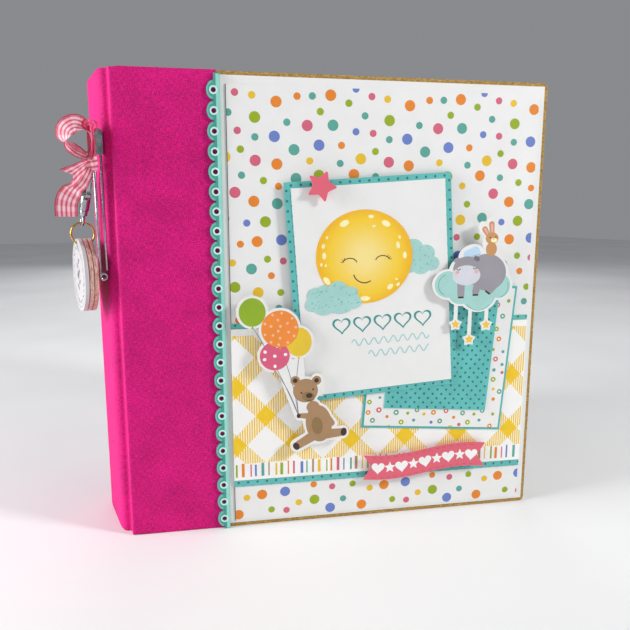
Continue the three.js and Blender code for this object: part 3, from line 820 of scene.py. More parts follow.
# The dotted paper repeats across; each row is (x, y, size, colour), size B for big and s for small.
DOT_PERIOD = 66.5
BIG, SMALL = 2.68, 1.74
DOT_SHIFT = -0.4
DOT_FIELD = [
    (56.4, 219, "s", "pink"), (64.4, 218, "s", "yellow"), (75.9, 215.3, "B", "orange"),
    (86, 218.1, "s", "orange"), (93.4, 218.4, "s", "aqua"), (102.4, 219, "B", "orange"),
    (111.4, 215.6, "s", "green"), (114.9, 222.3, "s", "blue"), (53.1, 209.9, "s", "aqua"),
    (65.6, 208, "B", "green"), (81, 206, "s", "aqua"), (97.3, 211.3, "s", "green"),
    (90.9, 204.7, "B", "pink"), (103.6, 205.1, "B", "aqua"), (57.3, 201.7, "s", "pink"),
    (65.6, 198.9, "s", "aqua"), (74.9, 199.3, "B", "blue"), (115.1, 202.3, "s", "blue"),
    (96.7, 195.6, "B", "blue"), (107.9, 195.7, "s", "orange"), (84.4, 193.3, "B", "aqua"),
    (58.6, 193.1, "s", "green"), (117.7, 189.4, "B", "yellow"), (65.6, 188, "B", "pink"),
    (76, 186.4, "B", "orange"), (92.1, 188.1, "s", "yellow"), (107.3, 187.1, "s", "aqua"),
    (58.9, 181, "s", "aqua"), (69.4, 178.6, "s", "green"), (85.3, 179.7, "B", "aqua"),
    (96.7, 181.3, "B", "green"), (76.7, 175.9, "s", "orange"), (114.3, 181.9, "B", "orange"),
    (55.6, 172.9, "B", "pink"), (64.6, 168.7, "B", "orange"), (76, 167.6, "B", "aqua"),
    (107.9, 167.5, "s", "green"), (104.9, 176.7, "s", "yellow"), (61, 158.3, "s", "blue"),
    (70.1, 158.9, "B", "green"), (116.5, 160.5, "B", "aqua"), (104.6, 159.5, "B", "yellow"),
    (114.2, 150.8, "s", "green"), (102.9, 150.6, "s", "pink"), (57.7, 148.1, "s", "orange"),
    (65.9, 149.3, "B", "orange"), (77.9, 150, "B", "blue"), (70.9, 140.6, "s", "green"),
    (78.7, 139.6, "s", "pink"), (62.9, 135.9, "B", "aqua"), (53.6, 139, "s", "yellow"),
    (72.7, 132.4, "s", "orange"), (54.6, 127, "B", "green"), (66, 124.1, "B", "yellow"),
    (77.3, 123.9, "s", "green"), (76.3, 116, "s", "aqua"), (56, 110.4, "s", "orange"),
    (88, 170, "s", "green"), (95, 164, "B", "pink"), (90, 155, "B", "orange"), (93, 146, "s", "aqua"),
    (104, 141, "B", "blue"), (114, 139, "s", "orange"), (92, 134, "B", "pink"), (103, 131, "s", "yellow"),
    (113, 126, "B", "aqua"), (90, 122, "s", "blue"), (101, 119, "B", "green"), (112, 115, "s", "pink"),
    (88, 111, "B", "orange"), (67, 113, "s", "blue"),
]
DOT_FOOT = [
    (58.4, 15.7, "s", "yellow"), (66.4, 16.9, "B", "orange"), (78.6, 17.6, "B", "blue"),
    (94, 20.3, "s", "orange"), (104.1, 18.3, "s", "pink"), (115.3, 19, "s", "green"),
    (94.4, 11.7, "B", "green"), (85.9, 10.7, "s", "yellow"), (110.1, 10.9, "s", "aqua"),
    (71.3, 8, "s", "green"), (79.3, 7, "s", "pink"), (53.9, 6.6, "B", "orange"),
    (103, 6.3, "B", "blue"),
]


def dot_marks(rows):
    marks = []
    for x, y, size, colour in rows:
        radius = BIG if size == "B" else SMALL
        for k in range(-1, 4):
            points = clip(ellipse(x + DOT_SHIFT + k * DOT_PERIOD, y, radius, count=26), PANEL)
            if points:
                marks.append((points, colour))
    return marks


def cover_base(prefix, body, plane, field):
    """The sheets that both covers carry: mat, dotted paper with its dots, punched border."""
    paper_piece(f"{prefix}_mat_sheet", rectangle(47, 2.2, 214, 226.7), level(0), WHITE, "white_cardstock",
                [f"{prefix}_mat"], body, plane)
    paper_piece(f"{prefix}_dot_sheet", rectangle(*PANEL), level(1), WHITE, "dotted_paper",
                [f"{prefix}_dot_paper"], body, plane)
    # A dark strip along the dotted paper's spine-side edge: painted shadow of that edge.
    painted_edge_shadow = (rectangle(PANEL[0], PANEL[1], PANEL[0] + EDGE_SHADOW_WIDTH, PANEL[3]), "ink_line")
    print_piece(f"{prefix}_dots", [*field, painted_edge_shadow], level(1) + PAPER, body, plane, "dotted_paper")
    border_base = CLOTH + 2 * GAP
    edge, holes = scallop_loops()
    paper_piece(f"{prefix}_border_sheet", [edge] + holes, border_base, MINT_STRIP, "scallop_paper",
                [f"{prefix}_scallop_border"], body, plane, BORDER_THICK + GAP)
    root, right = SCALLOP["root"], SCALLOP["right"]
    marks = inked("mint_light", rectangle(right - 1.75, 0.3, right - 0.05, COVER_H - 1.8))
    for k in range(len(holes)):
        y = SCALLOP["first"] + k * SCALLOP["pitch"]
        marks += annulus_marks(root - 0.1, y, SCALLOP["ring"], SCALLOP["hole"] + 0.08, "mint_pale")
        # Each scallop's outer curve is drawn lighter: a painted highlight, as if its edge were embossed.
        rim_in, rim_out = SCALLOP["rim"]
        rim = arc(root, y, rim_out, 100, 260, 18) + arc(root, y, rim_in, 260, 100, 18)
        marks += inked("scallop_rim", stretched(rim, y))
    print_piece(f"{prefix}_border_ink", marks, border_base + BORDER_THICK, body, plane, "scallop_paper")


def stripe_marks():
    """Short upright stripes along the foot of the gingham band."""
    colours = ["green", "orange", "pink", "blue", "aqua", "brown", "yellow"]
    marks = [(rectangle(BAND[0], BAND[1], BAND[2], 35), "white")]
    x, k = BAND[0] + 0.8, 0
    while x < BAND[2] - 1.6:
        width = (1.0, 1.5, 0.7)[k % 3]
        marks.append((rectangle(x, 27.7, x + width, 34.6 + 0.5 * math.sin(k * 1.7)), colours[k % 7]))
        x += width + (2.1, 3.0, 1.6, 2.4)[k % 4]
        k += 1
    marks.append((rectangle(BAND[0], BAND[3] - 3.4, BAND[2], BAND[3]), "white"))
    return marks


CONFETTI_SIZE = (76.4, 77.4)
CONFETTI = ((161.5, 87.6), math.radians(-4.5))      # a tilted sheet: its middle, and its turn
CONFETTI_DROP = 3.5                         # the dots are counted from a point this far below the middle
INSET = ((162.2, 89.3), math.radians(-4.5))
CARD = ((124.9, 125.2), math.radians(4))


def centred(w, h):
    return rectangle(-w / 2, -h / 2, w / 2, h / 2)


# Dots printed on the confetti paper: x, y, radius, colour.
CONFETTI_DOTS = [
    (30.4, 19.9, 1.3, "green"), (32.5, 14.5, 1.4, "orange"), (29.9, 8.6, 0.9, "green"),
    (35.8, 7.6, 0.9, "aqua"), (32, 3.4, 1.4, "pink"), (36.2, 0.5, 0.9, "aqua"), (31.9, -2.7, 1.0, "aqua"),
    (36.8, -4, 0.9, "pink"), (32.1, -8, 1.4, "green"), (32.8, -13.4, 0.9, "yellow"),
    (36.6, -14.7, 1.4, "aqua"), (33.6, -19.1, 1.0, "orange"), (34.4, -27.6, 0.9, "green"),
    (-36.4, -22.3, 1.3, "green"), (-30.9, -19.7, 0.8, "aqua"), (-30.8, -26.5, 1.5, "pink"),
    (-36.6, -28, 1.3, "orange"), (-21.1, -27.7, 1.5, "aqua"), (-14.6, -28, 0.9, "green"),
    (-9.6, -26.1, 1.3, "aqua"), (-5.4, -28.3, 0.9, "yellow"), (-0.1, -27.3, 1.4, "orange"),
    (7, -26.2, 1.4, "pink"), (11.8, -29.9, 0.9, "orange"), (16.7, -27.3, 1.4, "aqua"),
    (23.4, -27.8, 0.9, "green"), (28, -25.8, 1.3, "aqua"), (-33.8, -32.3, 1.4, "aqua"),
    (-26, -30.1, 0.9, "orange"), (-17.8, -33, 1.4, "green"), (-10.9, -31.8, 0.9, "aqua"),
    (-0.9, -32.8, 0.9, "blue"), (4, -32.1, 1.4, "aqua"), (15.3, -33.9, 1.0, "pink"),
    (20.2, -32.5, 1.4, "green"), (26.8, -31.2, 0.9, "aqua"), (-24.6, -36, 1.3, "yellow"),
    (-6, -36.6, 1.2, "orange"), (10.4, -35.6, 1.3, "yellow"), (33.4, -34.4, 1.3, "orange"),
    (33, 27, 1.4, "aqua"), (29.4, 33, 1.4, "pink"), (35.4, 35.4, 1.0, "green"), (-34, 10, 1.4, "pink"),
    (-35, 24, 1.3, "aqua"), (-31, 0, 1.0, "yellow"), (-35.6, -9, 1.3, "green"), (20, 36, 1.3, "orange"),
    (6, 35.6, 1.4, "green"), (-9, 36, 1.0, "aqua"), (-22, 34.8, 1.4, "orange"),
]


def confetti_marks(w, h):
    """Each dot is a ring of colour round a paler middle."""
    box = (-w / 2, -h / 2, w / 2, h / 2)
    dots = [(x, y - CONFETTI_DROP, r, colour) for x, y, r, colour in CONFETTI_DOTS]
    marks = [(clip(ellipse(x, y, r, count=18), box), colour) for x, y, r, colour in dots]
    marks += [(clip(ellipse(x, y, r * 0.42, count=12), box), "cream") for x, y, r, _ in dots if r > 1.2]
    return marks


def front_papers():
    cover_base("front", "front_cover", FRONT, dot_marks(DOT_FIELD) + dot_marks(DOT_FOOT))
    paper_piece("teal_band_sheet", rectangle(BAND[0], 22.4, BAND[2], 108.6), level(2), TEAL, "teal_paper",
                ["teal_band"])
    paper_piece("gingham_sheet", rectangle(*BAND), level(3), GINGHAM, "gingham_paper", ["gingham_band"])
    print_piece("gingham_stripes", stripe_marks(), level(3) + PAPER, slot="gingham_paper")
    paper_piece("confetti_backing_sheet", centred(79, 80), level(4), TEAL_PLAIN, "teal_paper",
                ["confetti_backing"], spin=CONFETTI)
    paper_piece("confetti_sheet", centred(*CONFETTI_SIZE), level(5), WHITE, "confetti_paper",
                ["confetti_mat"], spin=CONFETTI)
    print_piece("confetti_dots", confetti_marks(*CONFETTI_SIZE), level(5) + PAPER, slot="confetti_paper",
                spin=CONFETTI)
    paper_piece("teal_inset_sheet", centred(57.5, 61), level(6), TEAL, "teal_paper", ["teal_inset"],
                spin=INSET)
    paper_piece("card_mat_sheet", centred(85.4, 111), level(7), TEAL, "teal_paper", ["card_mat"], spin=CARD)
    paper_piece("moon_card_sheet", centred(78.8, 105), level(8), WHITE, "white_cardstock", ["moon_card"],
                spin=CARD)


# ---------------------------------------------------------------- moon card

CRATERS = [(108.6, 158, 2.5, 1.5, 25), (122.2, 161.4, 1.5, 0.9, 0), (130, 157.9, 2.4, 1.4, -25),
           (123.8, 156.6, 0.9, 0.6, 0), (136.5, 147.1, 1.0, 1.8, 12), (137.3, 151.1, 0.6, 0.9, 20),
           (140.2, 142, 1.0, 1.7, 0), (132.8, 126, 1.8, 1.2, 40), (137, 127.2, 1.1, 0.8, 45),
           (136.1, 129.8, 0.7, 0.5, 0), (119.7, 120.2, 2.7, 1.2, 0), (99.8, 129.5, 1.3, 2.3, 40),
           (98.4, 142, 1.0, 1.7, 0), (98, 146.8, 0.8, 1.2, -8), (99.8, 151.1, 0.6, 0.8, 0),
           (97, 137.6, 0.6, 0.9, 0), (99.2, 137.2, 0.5, 0.7, 0)]
CLOUD_BEFORE = [(94.4, 122.2, 4.6, 4.0), (98.6, 123.6, 4.2, 3.8), (105.6, 125, 5.0, 4.4),
                (112, 122.8, 4.0, 3.8), (113.8, 118.6, 4.0, 3.4), (93, 117.6, 4.2, 3.4),
                (98.4, 115.8, 5.0, 3.6), (107, 116.6, 6.0, 3.8), (103, 120, 8.0, 4.6)]
CLOUD_BEHIND = [(144.6, 145.4, 5.4, 4.8), (151.4, 142.6, 5.0, 4.6), (154.6, 137.6, 4.4, 3.8),
                (149, 136.4, 5.2, 4.4), (143, 139, 5.0, 6.2)]
MOON_THICK = 0.2
SMILE = [(113.6, 132.4), (114.4, 130.7), (115.9, 129.3), (117.6, 128.5), (119.4, 128.2), (121, 128.5),
         (122.5, 129.2)]


def dash(x, y, length, angle, width):
    """A short straight pen line that starts at a point."""
    return stroke([(x, y), (x + length * math.cos(angle), y + length * math.sin(angle))], width)


def cloud_marks(puffs, seed):
    """A puffy printed cloud with short pen dashes on it."""
    marks = inked("mint", *[ellipse(x, y, rx, ry, count=32) for x, y, rx, ry in puffs])
    dice = random.Random(seed)
    for x, y, rx, ry in puffs * 2:
        for _ in range(3):
            a, reach = dice.uniform(0, TAU), dice.uniform(0.2, 0.75)
            p, q = x + rx * reach * math.cos(a), y + ry * reach * math.sin(a)
            marks += inked("mint_dark", dash(p, q, 1.0, dice.uniform(0.1, 1.2), 0.24))
    return marks


def closed_eye(x, y, lean, outer):
    """An arc for a closed lid, with three short lashes at its outer end: outer is 1 right, -1 left."""
    angles = [math.radians(15 + lean + 150 * k / 14) for k in range(15)]
    lid = [(x + 3.7 * math.cos(a), y + 2.7 * math.sin(a)) for a in angles]
    marks = inked("ink_line", stroke(lid, 0.5))
    end = lid[0] if outer > 0 else lid[-1]
    for k, angle in enumerate((8, 42, 76)):
        a = math.radians(angle if outer > 0 else 180 - angle)
        marks += inked("ink_line", dash(end[0] - outer * 0.45 * k, end[1] + 0.5 * k, 1.25, a, 0.34))
    return marks


def moon_card_print():
    surface = level(8) + PAPER
    print_piece("card_cloud_behind", cloud_marks(CLOUD_BEHIND, 3), surface)
    outline = ellipse(*MOON, MOON_RX, MOON_RY, count=96)
    disc = sheet_mesh("moon_disc", [outline], surface, MOON_THICK, bevel=0.02)
    finish_piece("moon_disc", disc, [MOON_PAPER], "front_cover", "gingham_paper")
    marks = inked("cream", *[ellipse(*crater, 24) for crater in CRATERS])
    marks += closed_eye(111.6, 138.0, 0, -1) + closed_eye(128.6, 139.2, 4, 1)
    smile = [tuple(p) for p in catmull([Vector(q) for q in SMILE], 3)]
    print_piece("moon_marks", marks + inked("ink_line", stroke(smile, 0.55)), surface + MOON_THICK)
    print_piece("card_cloud_before", cloud_marks(CLOUD_BEFORE, 8), surface + MOON_THICK + 0.06)
    print_piece("card_flourish", flourish_marks(), surface)


def wave_line(x0, x1, y, height, pitch, slope):
    """A gentle wave along a sloping line, an ornament without letters."""
    steps = int((x1 - x0) / pitch * 12)
    xs = [x0 + (x1 - x0) * k / steps for k in range(steps + 1)]
    return [(x, y + slope * (x - x0) + height * math.sin(TAU * (x - x0) / pitch)) for x in xs]


def flourish_marks():
    """Ornament under the moon: a row of open hearts, then two rows of waves."""
    marks = []
    tilt = math.tan(CARD[1])
    for k in range(5):
        x, y = 107.6 + 10.8 * k, 106.6 + tilt * 10.8 * k
        outer, inner = heart(x, y, 9.6, 4), heart(x, y, 7.4, 4)
        half = len(outer) // 2
        for a, b in ((0, half), (half, len(outer))):
            ring = [outer[i % len(outer)] for i in range(a, b + 1)]
            hole = [inner[i % len(inner)] for i in range(b, a - 1, -1)]
            marks += inked("deep_teal", ring + hole)
    for x, y in ((113, 97.8), (122, 91.2)):
        marks += inked("soft_teal", stroke(wave_line(x, 154.6, y + tilt * (x - 122), 1.7, 5.2, tilt), 0.6))
    return marks


# ---------------------------------------------------------------- die-cuts

STAR_LEVEL, DIECUT_LEVEL, BANNER_LEVEL, DIECUT = 5.6, 5.4, 4.0, 0.5

BALLOONS = [(62.1, 115, 6.6, 7.1, "balloon_green"), (85.2, 99.3, 6.5, 7.4, "balloon_yellow"),
            (73, 92.6, 7.5, 7.3, "balloon_pink"), (75.7, 106.3, 9.3, 9.3, "balloon_orange")]
HAND = (84.9, 60.6)
# Spots: the balloon's colour, theirs, their radius, how many fill the outer ring, the rings' radii.
BALLOON_SPOTS = [("balloon_orange", "peach", 0.62, 12, (0.15, 0.5, 0.86)),
                 ("balloon_pink", "white", 0.8, 7, (0.0, 0.72))]


def balloon_string(x, y):
    """A slightly bowed string from a balloon's foot to the hand."""
    bow = 1.2 if x < 80 else -1.2
    return stroke([(x + (HAND[0] - x) * t + bow * math.sin(math.pi * t), y + (HAND[1] - y) * t)
                   for t in [i / 12 for i in range(13)]], 0.28)


def balloon_print():
    """Four balloons held by a seated bear cub."""
    marks = inked("grey_dark", *[balloon_string(x, y - ry) for x, y, _, ry, _ in BALLOONS])
    dice = random.Random(2)
    for x, y, rx, ry, colour in BALLOONS:
        knot = [(x - 0.8, y - ry - 1.1), (x + 0.8, y - ry - 1.1), (x, y - ry + 0.3)]
        marks += inked(colour, knot, ellipse(x, y, rx, ry, count=48))
        for spotted, spot, size, many, rings in BALLOON_SPOTS:
            for ring in rings if spotted == colour else ():
                count = max(1, round(many * ring))
                for k in range(count):
                    a = TAU * (k + dice.uniform(0, 0.45)) / count + ring * 3
                    u, v = x + rx * ring * math.cos(a), y + ry * ring * math.sin(a)
                    marks += inked(spot, ellipse(u, v, size * 1.15, size, math.degrees(a), 14))
    arms_legs_body = [bar(99.2, 59.8, 102.2, 55.8, 1.9, 1.6), bar(91.6, 49, 84.6, 45, 2.6, 2.2),
                      bar(98.6, 50, 107.4, 50.5, 2.7, 2.1), ellipse(95.4, 56, 6.8, 9.9, 8, 48),
                      ellipse(92.4, 65, 3.4, 3.2), bar(91, 60.2, 86, 60.7, 1.6, 1.3)]
    marks += inked("brown", *arms_legs_body)
    marks += inked("paw", ellipse(83.6, 44.4, 1.6, 2.1, 30), ellipse(108.6, 50.6, 1.6, 2.2, -5))
    marks += inked("tan", ellipse(94.5, 54.9, 2.9, 4.7, 8)) + inked("paw", ellipse(84.9, 60.7, 1.0, 1.2))
    for radius, colour in ((2.4, "brown"), (1.2, "paw")):
        marks += inked(colour, ellipse(83.2, 79.4, radius), ellipse(94.2, 79, radius))
    marks += inked("brown", ellipse(88.5, 73.9, 6.4, 6.2, count=48))
    marks += inked("tan", ellipse(90, 70.6, 3.4, 2.6, -15))
    marks += inked("paw", ellipse(90.4, 71.2, 1.7, 1.3), stroke(arc(90.2, 69.6, 1.1, 210, 330), 0.3),
                   ellipse(86.4, 72.8, 0.5), ellipse(92.4, 74.4, 0.5))
    print_piece("balloon_picture", marks, DIECUT_LEVEL + DIECUT)


BALLOON_OUTLINE = [
    ellipse(62.1, 115, 7.9, 8.3), ellipse(75.7, 106.3, 10.6, 10.6), ellipse(85, 99.2, 8, 8.7),
    ellipse(73, 92.6, 8.8, 8.6), [(87.6, 91), (72, 90), (82.8, 60.4), (89.6, 60)],
    ellipse(88.5, 73.9, 7.6, 7.4), ellipse(83.1, 79.5, 3.5), ellipse(94.4, 79.1, 3.5),
    ellipse(95.4, 56, 8, 11.2, 8), ellipse(92.4, 65, 4.6, 4.4), bar(90, 60, 85.2, 60.7, 2.6),
    bar(99, 60, 102.5, 55.6, 2.9), bar(91, 48.6, 84.2, 44.8, 3.7), bar(99, 50, 107.8, 50.4, 3.6),
]

STAR_TAGS = [(168.1, 105.6), (176, 97.3), (185.2, 104.8)]
CLOUD_OUTLINE = [
    ellipse(163.2, 126.6, 8.4, 8), ellipse(170.6, 121.6, 7.8, 6.4), ellipse(180.2, 120.4, 10.6, 8.6),
    ellipse(191.4, 125.4, 7.6, 7.6), ellipse(184.2, 132, 12.2, 11.2), ellipse(173, 132.6, 9.6, 9),
    ellipse(175.4, 141.4, 7.2, 5.6, 24), ellipse(186.2, 147.2, 4.7, 7.2), ellipse(182.3, 154.9, 2.5, 4.4, 30),
    ellipse(185.8, 156.2, 2.5, 4.5, 6),
] + [bar(x, 116, x, y, 0.95) for x, y in STAR_TAGS] + [star(x, y, 3.8, 2.5, 0.32) for x, y in STAR_TAGS]


def cloud_print():
    """A plump grey animal asleep on a cloud with its head on a pillow, a small rabbit on its back."""
    cloud = [ellipse(163.2, 126.6, 7.2, 6.9), ellipse(170.6, 121.4, 6.8, 5.2),
             ellipse(180.2, 120.4, 9.4, 7.4), ellipse(191.4, 125.4, 6.4, 6.5), ellipse(177, 126, 13, 7)]
    curls = [(163.6, 126.4, 5.6, 110, 250), (180.4, 120.6, 7.9, 215, 320), (190.6, 125, 6.0, 290, 380)]
    marks = inked("mint", *cloud) + inked("mint_dark", *[stroke(arc(*curl), 0.35) for curl in curls])
    marks += inked("star_gold", *[star(x, y, 2.5, 1.35, math.pi / 2) for x, y in STAR_TAGS])
    marks += inked("cap", turned(rectangle(-4.6, -3.2, 4.6, 3.2, 2.2), (175.8, 142), 0.42))
    crease = turned(stroke([(-3.6, -2), (0, -1.4), (3.6, -2)], 0.3), (175.8, 142.4), 0.42)
    marks += inked("grey", crease, ellipse(184.4, 132.6, 10.6, 9.6, -10, 56),
                   bar(190.6, 129, 186.2, 123.4, 3.0, 2.2), bar(179.4, 127, 178.5, 122.6, 2.0, 1.9),
                   bar(170.3, 127, 170.4, 121.4, 2.1, 1.9))
    marks += inked("paw", rectangle(176.8, 120.4, 180, 121.3, 0.4),
                   rectangle(168.8, 119.3, 172.1, 120.2, 0.4),
                   turned(rectangle(-1.7, -0.45, 1.7, 0.45, 0.4), (185.2, 122), -0.6))
    marks += inked("grey", ellipse(173, 135, 7.3, 6.0, 4, 44), ellipse(167.4, 139.2, 1.7, 1.1, 30))
    marks += inked("grey_dark", ellipse(178.4, 139.8, 1.8, 1.2, -30))
    marks += inked("muzzle", ellipse(173, 131.2, 7.7, 5.2, 0, 44))
    lids = [stroke(arc(x, y, 1.0, 190, 350), 0.4) for x, y in ((168.6, 135), (177.6, 135.4))]
    marks += inked("ink_line", *lids)
    marks += inked("blush", ellipse(168, 132.8, 1.1, 0.8), ellipse(178.4, 133, 1.1, 0.8))
    marks += inked("bunny", bar(182.2, 154.8, 184.4, 151.4, 1.5, 1.1),
                   bar(185.8, 157.4, 186.4, 151.4, 1.5, 1.1))
    marks += inked("blush", bar(182.3, 154.8, 183.8, 152.4, 0.7, 0.5), bar(185.9, 157, 186.3, 153, 0.7, 0.5))
    marks += inked("bunny", ellipse(186.2, 144.6, 3.0, 3.6), ellipse(186.3, 150.2, 3.5, 3.0))
    marks += inked("cream", ellipse(187.4, 149.2, 1.7, 1.2))
    marks += inked("paw", ellipse(185.2, 150.6, 0.4), ellipse(188.3, 150.7, 0.4))
    marks += inked("blush", ellipse(187.2, 149.8, 0.5, 0.35))
    print_piece("cloud_picture", marks, DIECUT_LEVEL + DIECUT)


def wavy_banner():
    """The banner's outline: a shallow S with swallow tails, as the CAD cuts it."""
    left, right, mid, rise, half, notch = 120.0, 188.6, 30.5, 2.2, 6.7, 4.5
    count = 40

    def wave(x):
        return mid + rise * math.sin(((x - left) / (right - left) - 0.5) * TAU * 0.8)
    xs = [left + (right - left) * i / count for i in range(count + 1)]
    bottom = [(x, wave(x) - half) for x in xs]
    top = [(x, wave(x) + half) for x in xs[::-1]]
    return bottom + [(right - notch, wave(right))] + top + [(left + notch, wave(left))], wave


def banner_piece():
    outline, wave = wavy_banner()
    mesh = sheet_mesh("banner_sheet", [outline], BANNER_LEVEL, DIECUT, bevel=0.06)
    finish_piece("banner_sheet", mesh, [CORAL], "front_cover", "coral_paper", ["banner"])
    marks = []
    for k in range(9):
        x = 127.9 + k * 6.6
        y = wave(x)
        lean = math.degrees(math.atan((wave(x + 1) - wave(x - 1)) / 2))
        marks += inked("white", star(x, y, 3.3, 1.5, math.pi / 2) if k % 2 else heart(x, y, 7.2, lean))
    for sign in (-1, 1):
        xs = [124.8 + 59 * i / 60 for i in range(61)]
        stitches = [[(x, wave(x) + sign * 5.5) for x in xs[i:i + 3]] for i in range(0, 58, 4)]
        marks += inked("coral_dark", *[stroke(stitch, 0.28) for stitch in stitches])
    print_piece("banner_marks", marks, BANNER_LEVEL + DIECUT, slot="coral_paper")


def rounded_star():
    """The star with softened points."""
    corners = star(96.6, 175.9, 7.6, 4, 1.19)
    made = []
    for i, p in enumerate(corners):
        before, after = Vector(corners[i - 1]), Vector(corners[(i + 1) % 10])
        here = Vector(p)
        a, b = here.lerp(before, 0.16), here.lerp(after, 0.16)
        for k in range(5):
            t = k / 4
            made.append(tuple((1 - t) ** 2 * a + 2 * t * (1 - t) * here + t * t * b))
    return made


def diecuts():
    mesh = sheet_mesh("star_sheet", [rounded_star()], STAR_LEVEL, DIECUT + 0.4, bevel=0.2)
    finish_piece("star_sheet", mesh, [CORAL], "front_cover", "coral_paper", ["star_diecut"])
    for name, outlines, node in (("balloon_sticker", BALLOON_OUTLINE, "balloon_diecut"),
                                 ("cloud_sticker", CLOUD_OUTLINE, "cloud_diecut")):
        mesh = union_sheet(name, outlines, DIECUT_LEVEL, DIECUT)
        finish_piece(name, mesh, [WHITE], "front_cover", "sticker_paper", [node])
    balloon_print()
    cloud_print()
    banner_piece()
    for node in ("star_foam", "balloon_foam", "cloud_foam", "banner_foam"):
        refined(node, "front_cover", FOAM, "foam", bevel=0.3)


# ---------------------------------------------------------------- ribbon bow

KNOT = Vector((-4.6, -20.0, 186.6))
KNOT_FLAT = -2.2                            # the knot is pressed flat on the pin arm's side
LANES, CURL, PUCKER = 8, 0.35, 1.6          # a strip's lanes across, its bow, how deep a gathered one folds


def at(x, y, z):
    """A place counted from the spine's outside face, in the row frame's mm."""
    return Vector((x + SPINE_FACE, y, z))


def ribbon_strip(name, points, across, widths, nodes, notch=0.0, material=RIBBON):
    """A ribbon along a path: its width and the way it faces are given at its ends and between."""
    path = catmull([at(*p) for p in points], 8)
    count = len(path) - 1
    lengths = running_lengths(path)

    def pick(values, t):
        place = t * (len(values) - 1)
        i = min(int(place), len(values) - 2)
        return Vector(values[i]).lerp(Vector(values[i + 1]), place - i)

    def along(s):
        """The path's point and direction at a length along it."""
        i = min(max(1, sum(length < s for length in lengths)), count)
        share = (s - lengths[i - 1]) / (lengths[i] - lengths[i - 1])
        return path[i - 1].lerp(path[i], share), (path[min(count, i + 1)] - path[max(0, i - 2)]).normalized()
    grid = []
    for i in range(count + 1):
        row = []
        for j in range(LANES + 1):
            v = j / LANES - 0.5
            s = lengths[i] * (1 - notch * (1 - abs(2 * v)) / lengths[-1])
            p, tangent = along(s)
            t = s / lengths[-1]
            side = pick(across, t)
            side = (side - tangent * side.dot(tangent)).normalized()
            face = tangent.cross(side)
            width = pick([(w, 0, 0) for w in widths], t).x
            fold = PUCKER * (1 - width / RIBBON_W) * math.cos(v * TAU * 1.5) + CURL * math.cos(v * math.pi)
            row.append(p + side * v * width + face * fold)
        grid.append(row)
    mesh = skin(name, grid, lambda i, j: (lengths[i], RIBBON_W * j / LANES))
    piece = finish_piece(name, mesh, [material], "spine", "ribbon", nodes, smooth=True)


def ribbon_bow():
    tilt = (-0.35, 0.5, 0.8)
    ribbon_strip("ribbon_big_loop",
                 [(-4.4, -20.6, 187.8), (-3.8, -22, 192), (-4.4, -22.6, 197.4), (-7.2, -22.2, 201.8),
                  (-11.6, -21, 203.2), (-15.4, -20.2, 200.4), (-15.6, -20.2, 195.6), (-12, -20.6, 191.8),
                  (-8, -20.8, 189.4), (-4.8, -20.4, 187.6)],
                 [(0.3, 0.9, 0.3), tilt, tilt, tilt, (0.3, 0.7, 0.6)],
                 [4.5, 8.5, 10, 10, 10, 9, 4.5], ["ribbon_loop_outer"])
    # The small loop wears the ribbon with painted shade.
    ribbon_strip("ribbon_small_loop",
                 [(-4.6, -20.6, 188), (-4.5, -23.4, 190), (-4.4, -26.4, 194), (-4.4, -26.6, 199),
                  (-4.6, -24.4, 202.6), (-5.2, -21.4, 202.8), (-5.4, -19.8, 199), (-5, -19.8, 193),
                  (-4.8, -20, 188.4)],
                 [(0.4, 0.8, 0.1), (0.25, 0.95, 0.1), (0.25, 0.95, 0.1), (0.5, 0.8, 0)],
                 [4, 6.5, 7.5, 7.5, 6.5, 4], ["ribbon_loop_inner"], material=RIBBON_PAINTED_SHADE)
    ribbon_strip("ribbon_short_tail",
                 [(-5, -20.6, 186.2), (-7.6, -21.6, 184.6), (-10.6, -22.4, 182.4), (-13.4, -22.8, 180.2),
                  (-16.4, -22.8, 178.2)],
                 [(0.2, -0.4, 1), (0.36, -0.3, 0.95), (0.45, -0.15, 0.9)], [4.5, 8, 10, 10.6],
                 ["ribbon_tail_upper"], notch=3.8)
    ribbon_strip("ribbon_long_tail",
                 [(-5, -20.2, 185.4), (-7.4, -20.4, 181), (-10.6, -20.6, 176.4), (-14.4, -20.8, 172.6),
                  (-16.8, -20.8, 168), (-17.2, -20.8, 161.6)],
                 [(0.7, -0.3, 0.6), (0.9, -0.2, 0.5), (1, 0.1, 0.1)], [4.5, 7.5, 9.6, 10, 10],
                 ["ribbon_tail_lower"])


def ribbon_knot():
    """The knot: a tight lump of wrapped ribbon with creases round it."""
    shape = bmesh.new()
    bmesh.ops.create_uvsphere(shape, u_segments=36, v_segments=24, radius=1)
    layer = shape.loops.layers.uv.new("plan")
    for vert in shape.verts:
        a = math.atan2(vert.co.y, vert.co.x)
        crease = 0.12 * math.sin(5 * a + 3 * vert.co.z) + 0.16 * noise.noise(vert.co * 2.3)
        vert.co = vert.co * (1 + crease)
    for face in shape.faces:
        for loop in face.loops:
            co = loop.vert.co
            loop[layer].uv = (10 + 7 * co.x + 3 * co.y, RIBBON_W / 2 + 3.4 * co.z)
    bmesh.ops.scale(shape, verts=shape.verts, vec=(3.3, 3.1, 4.2))
    bmesh.ops.rotate(shape, verts=shape.verts, matrix=Matrix.Rotation(math.radians(-12), 3, "Y"))
    bmesh.ops.translate(shape, verts=shape.verts, vec=at(*KNOT))
    flat_side = at(KNOT_FLAT, 0, 0).x
    for vert in shape.verts:
        vert.co.x = min(vert.co.x, flat_side)
    bmesh.ops.scale(shape, verts=shape.verts, vec=(MM, MM, MM))
    mesh = mesh_of(shape, "ribbon_knot_wrap")
    finish_piece("ribbon_knot_wrap", mesh, [RIBBON], "spine", "ribbon", ["ribbon_knot"], smooth=True)


# ---------------------------------------------------------------- pin, clasp and charms

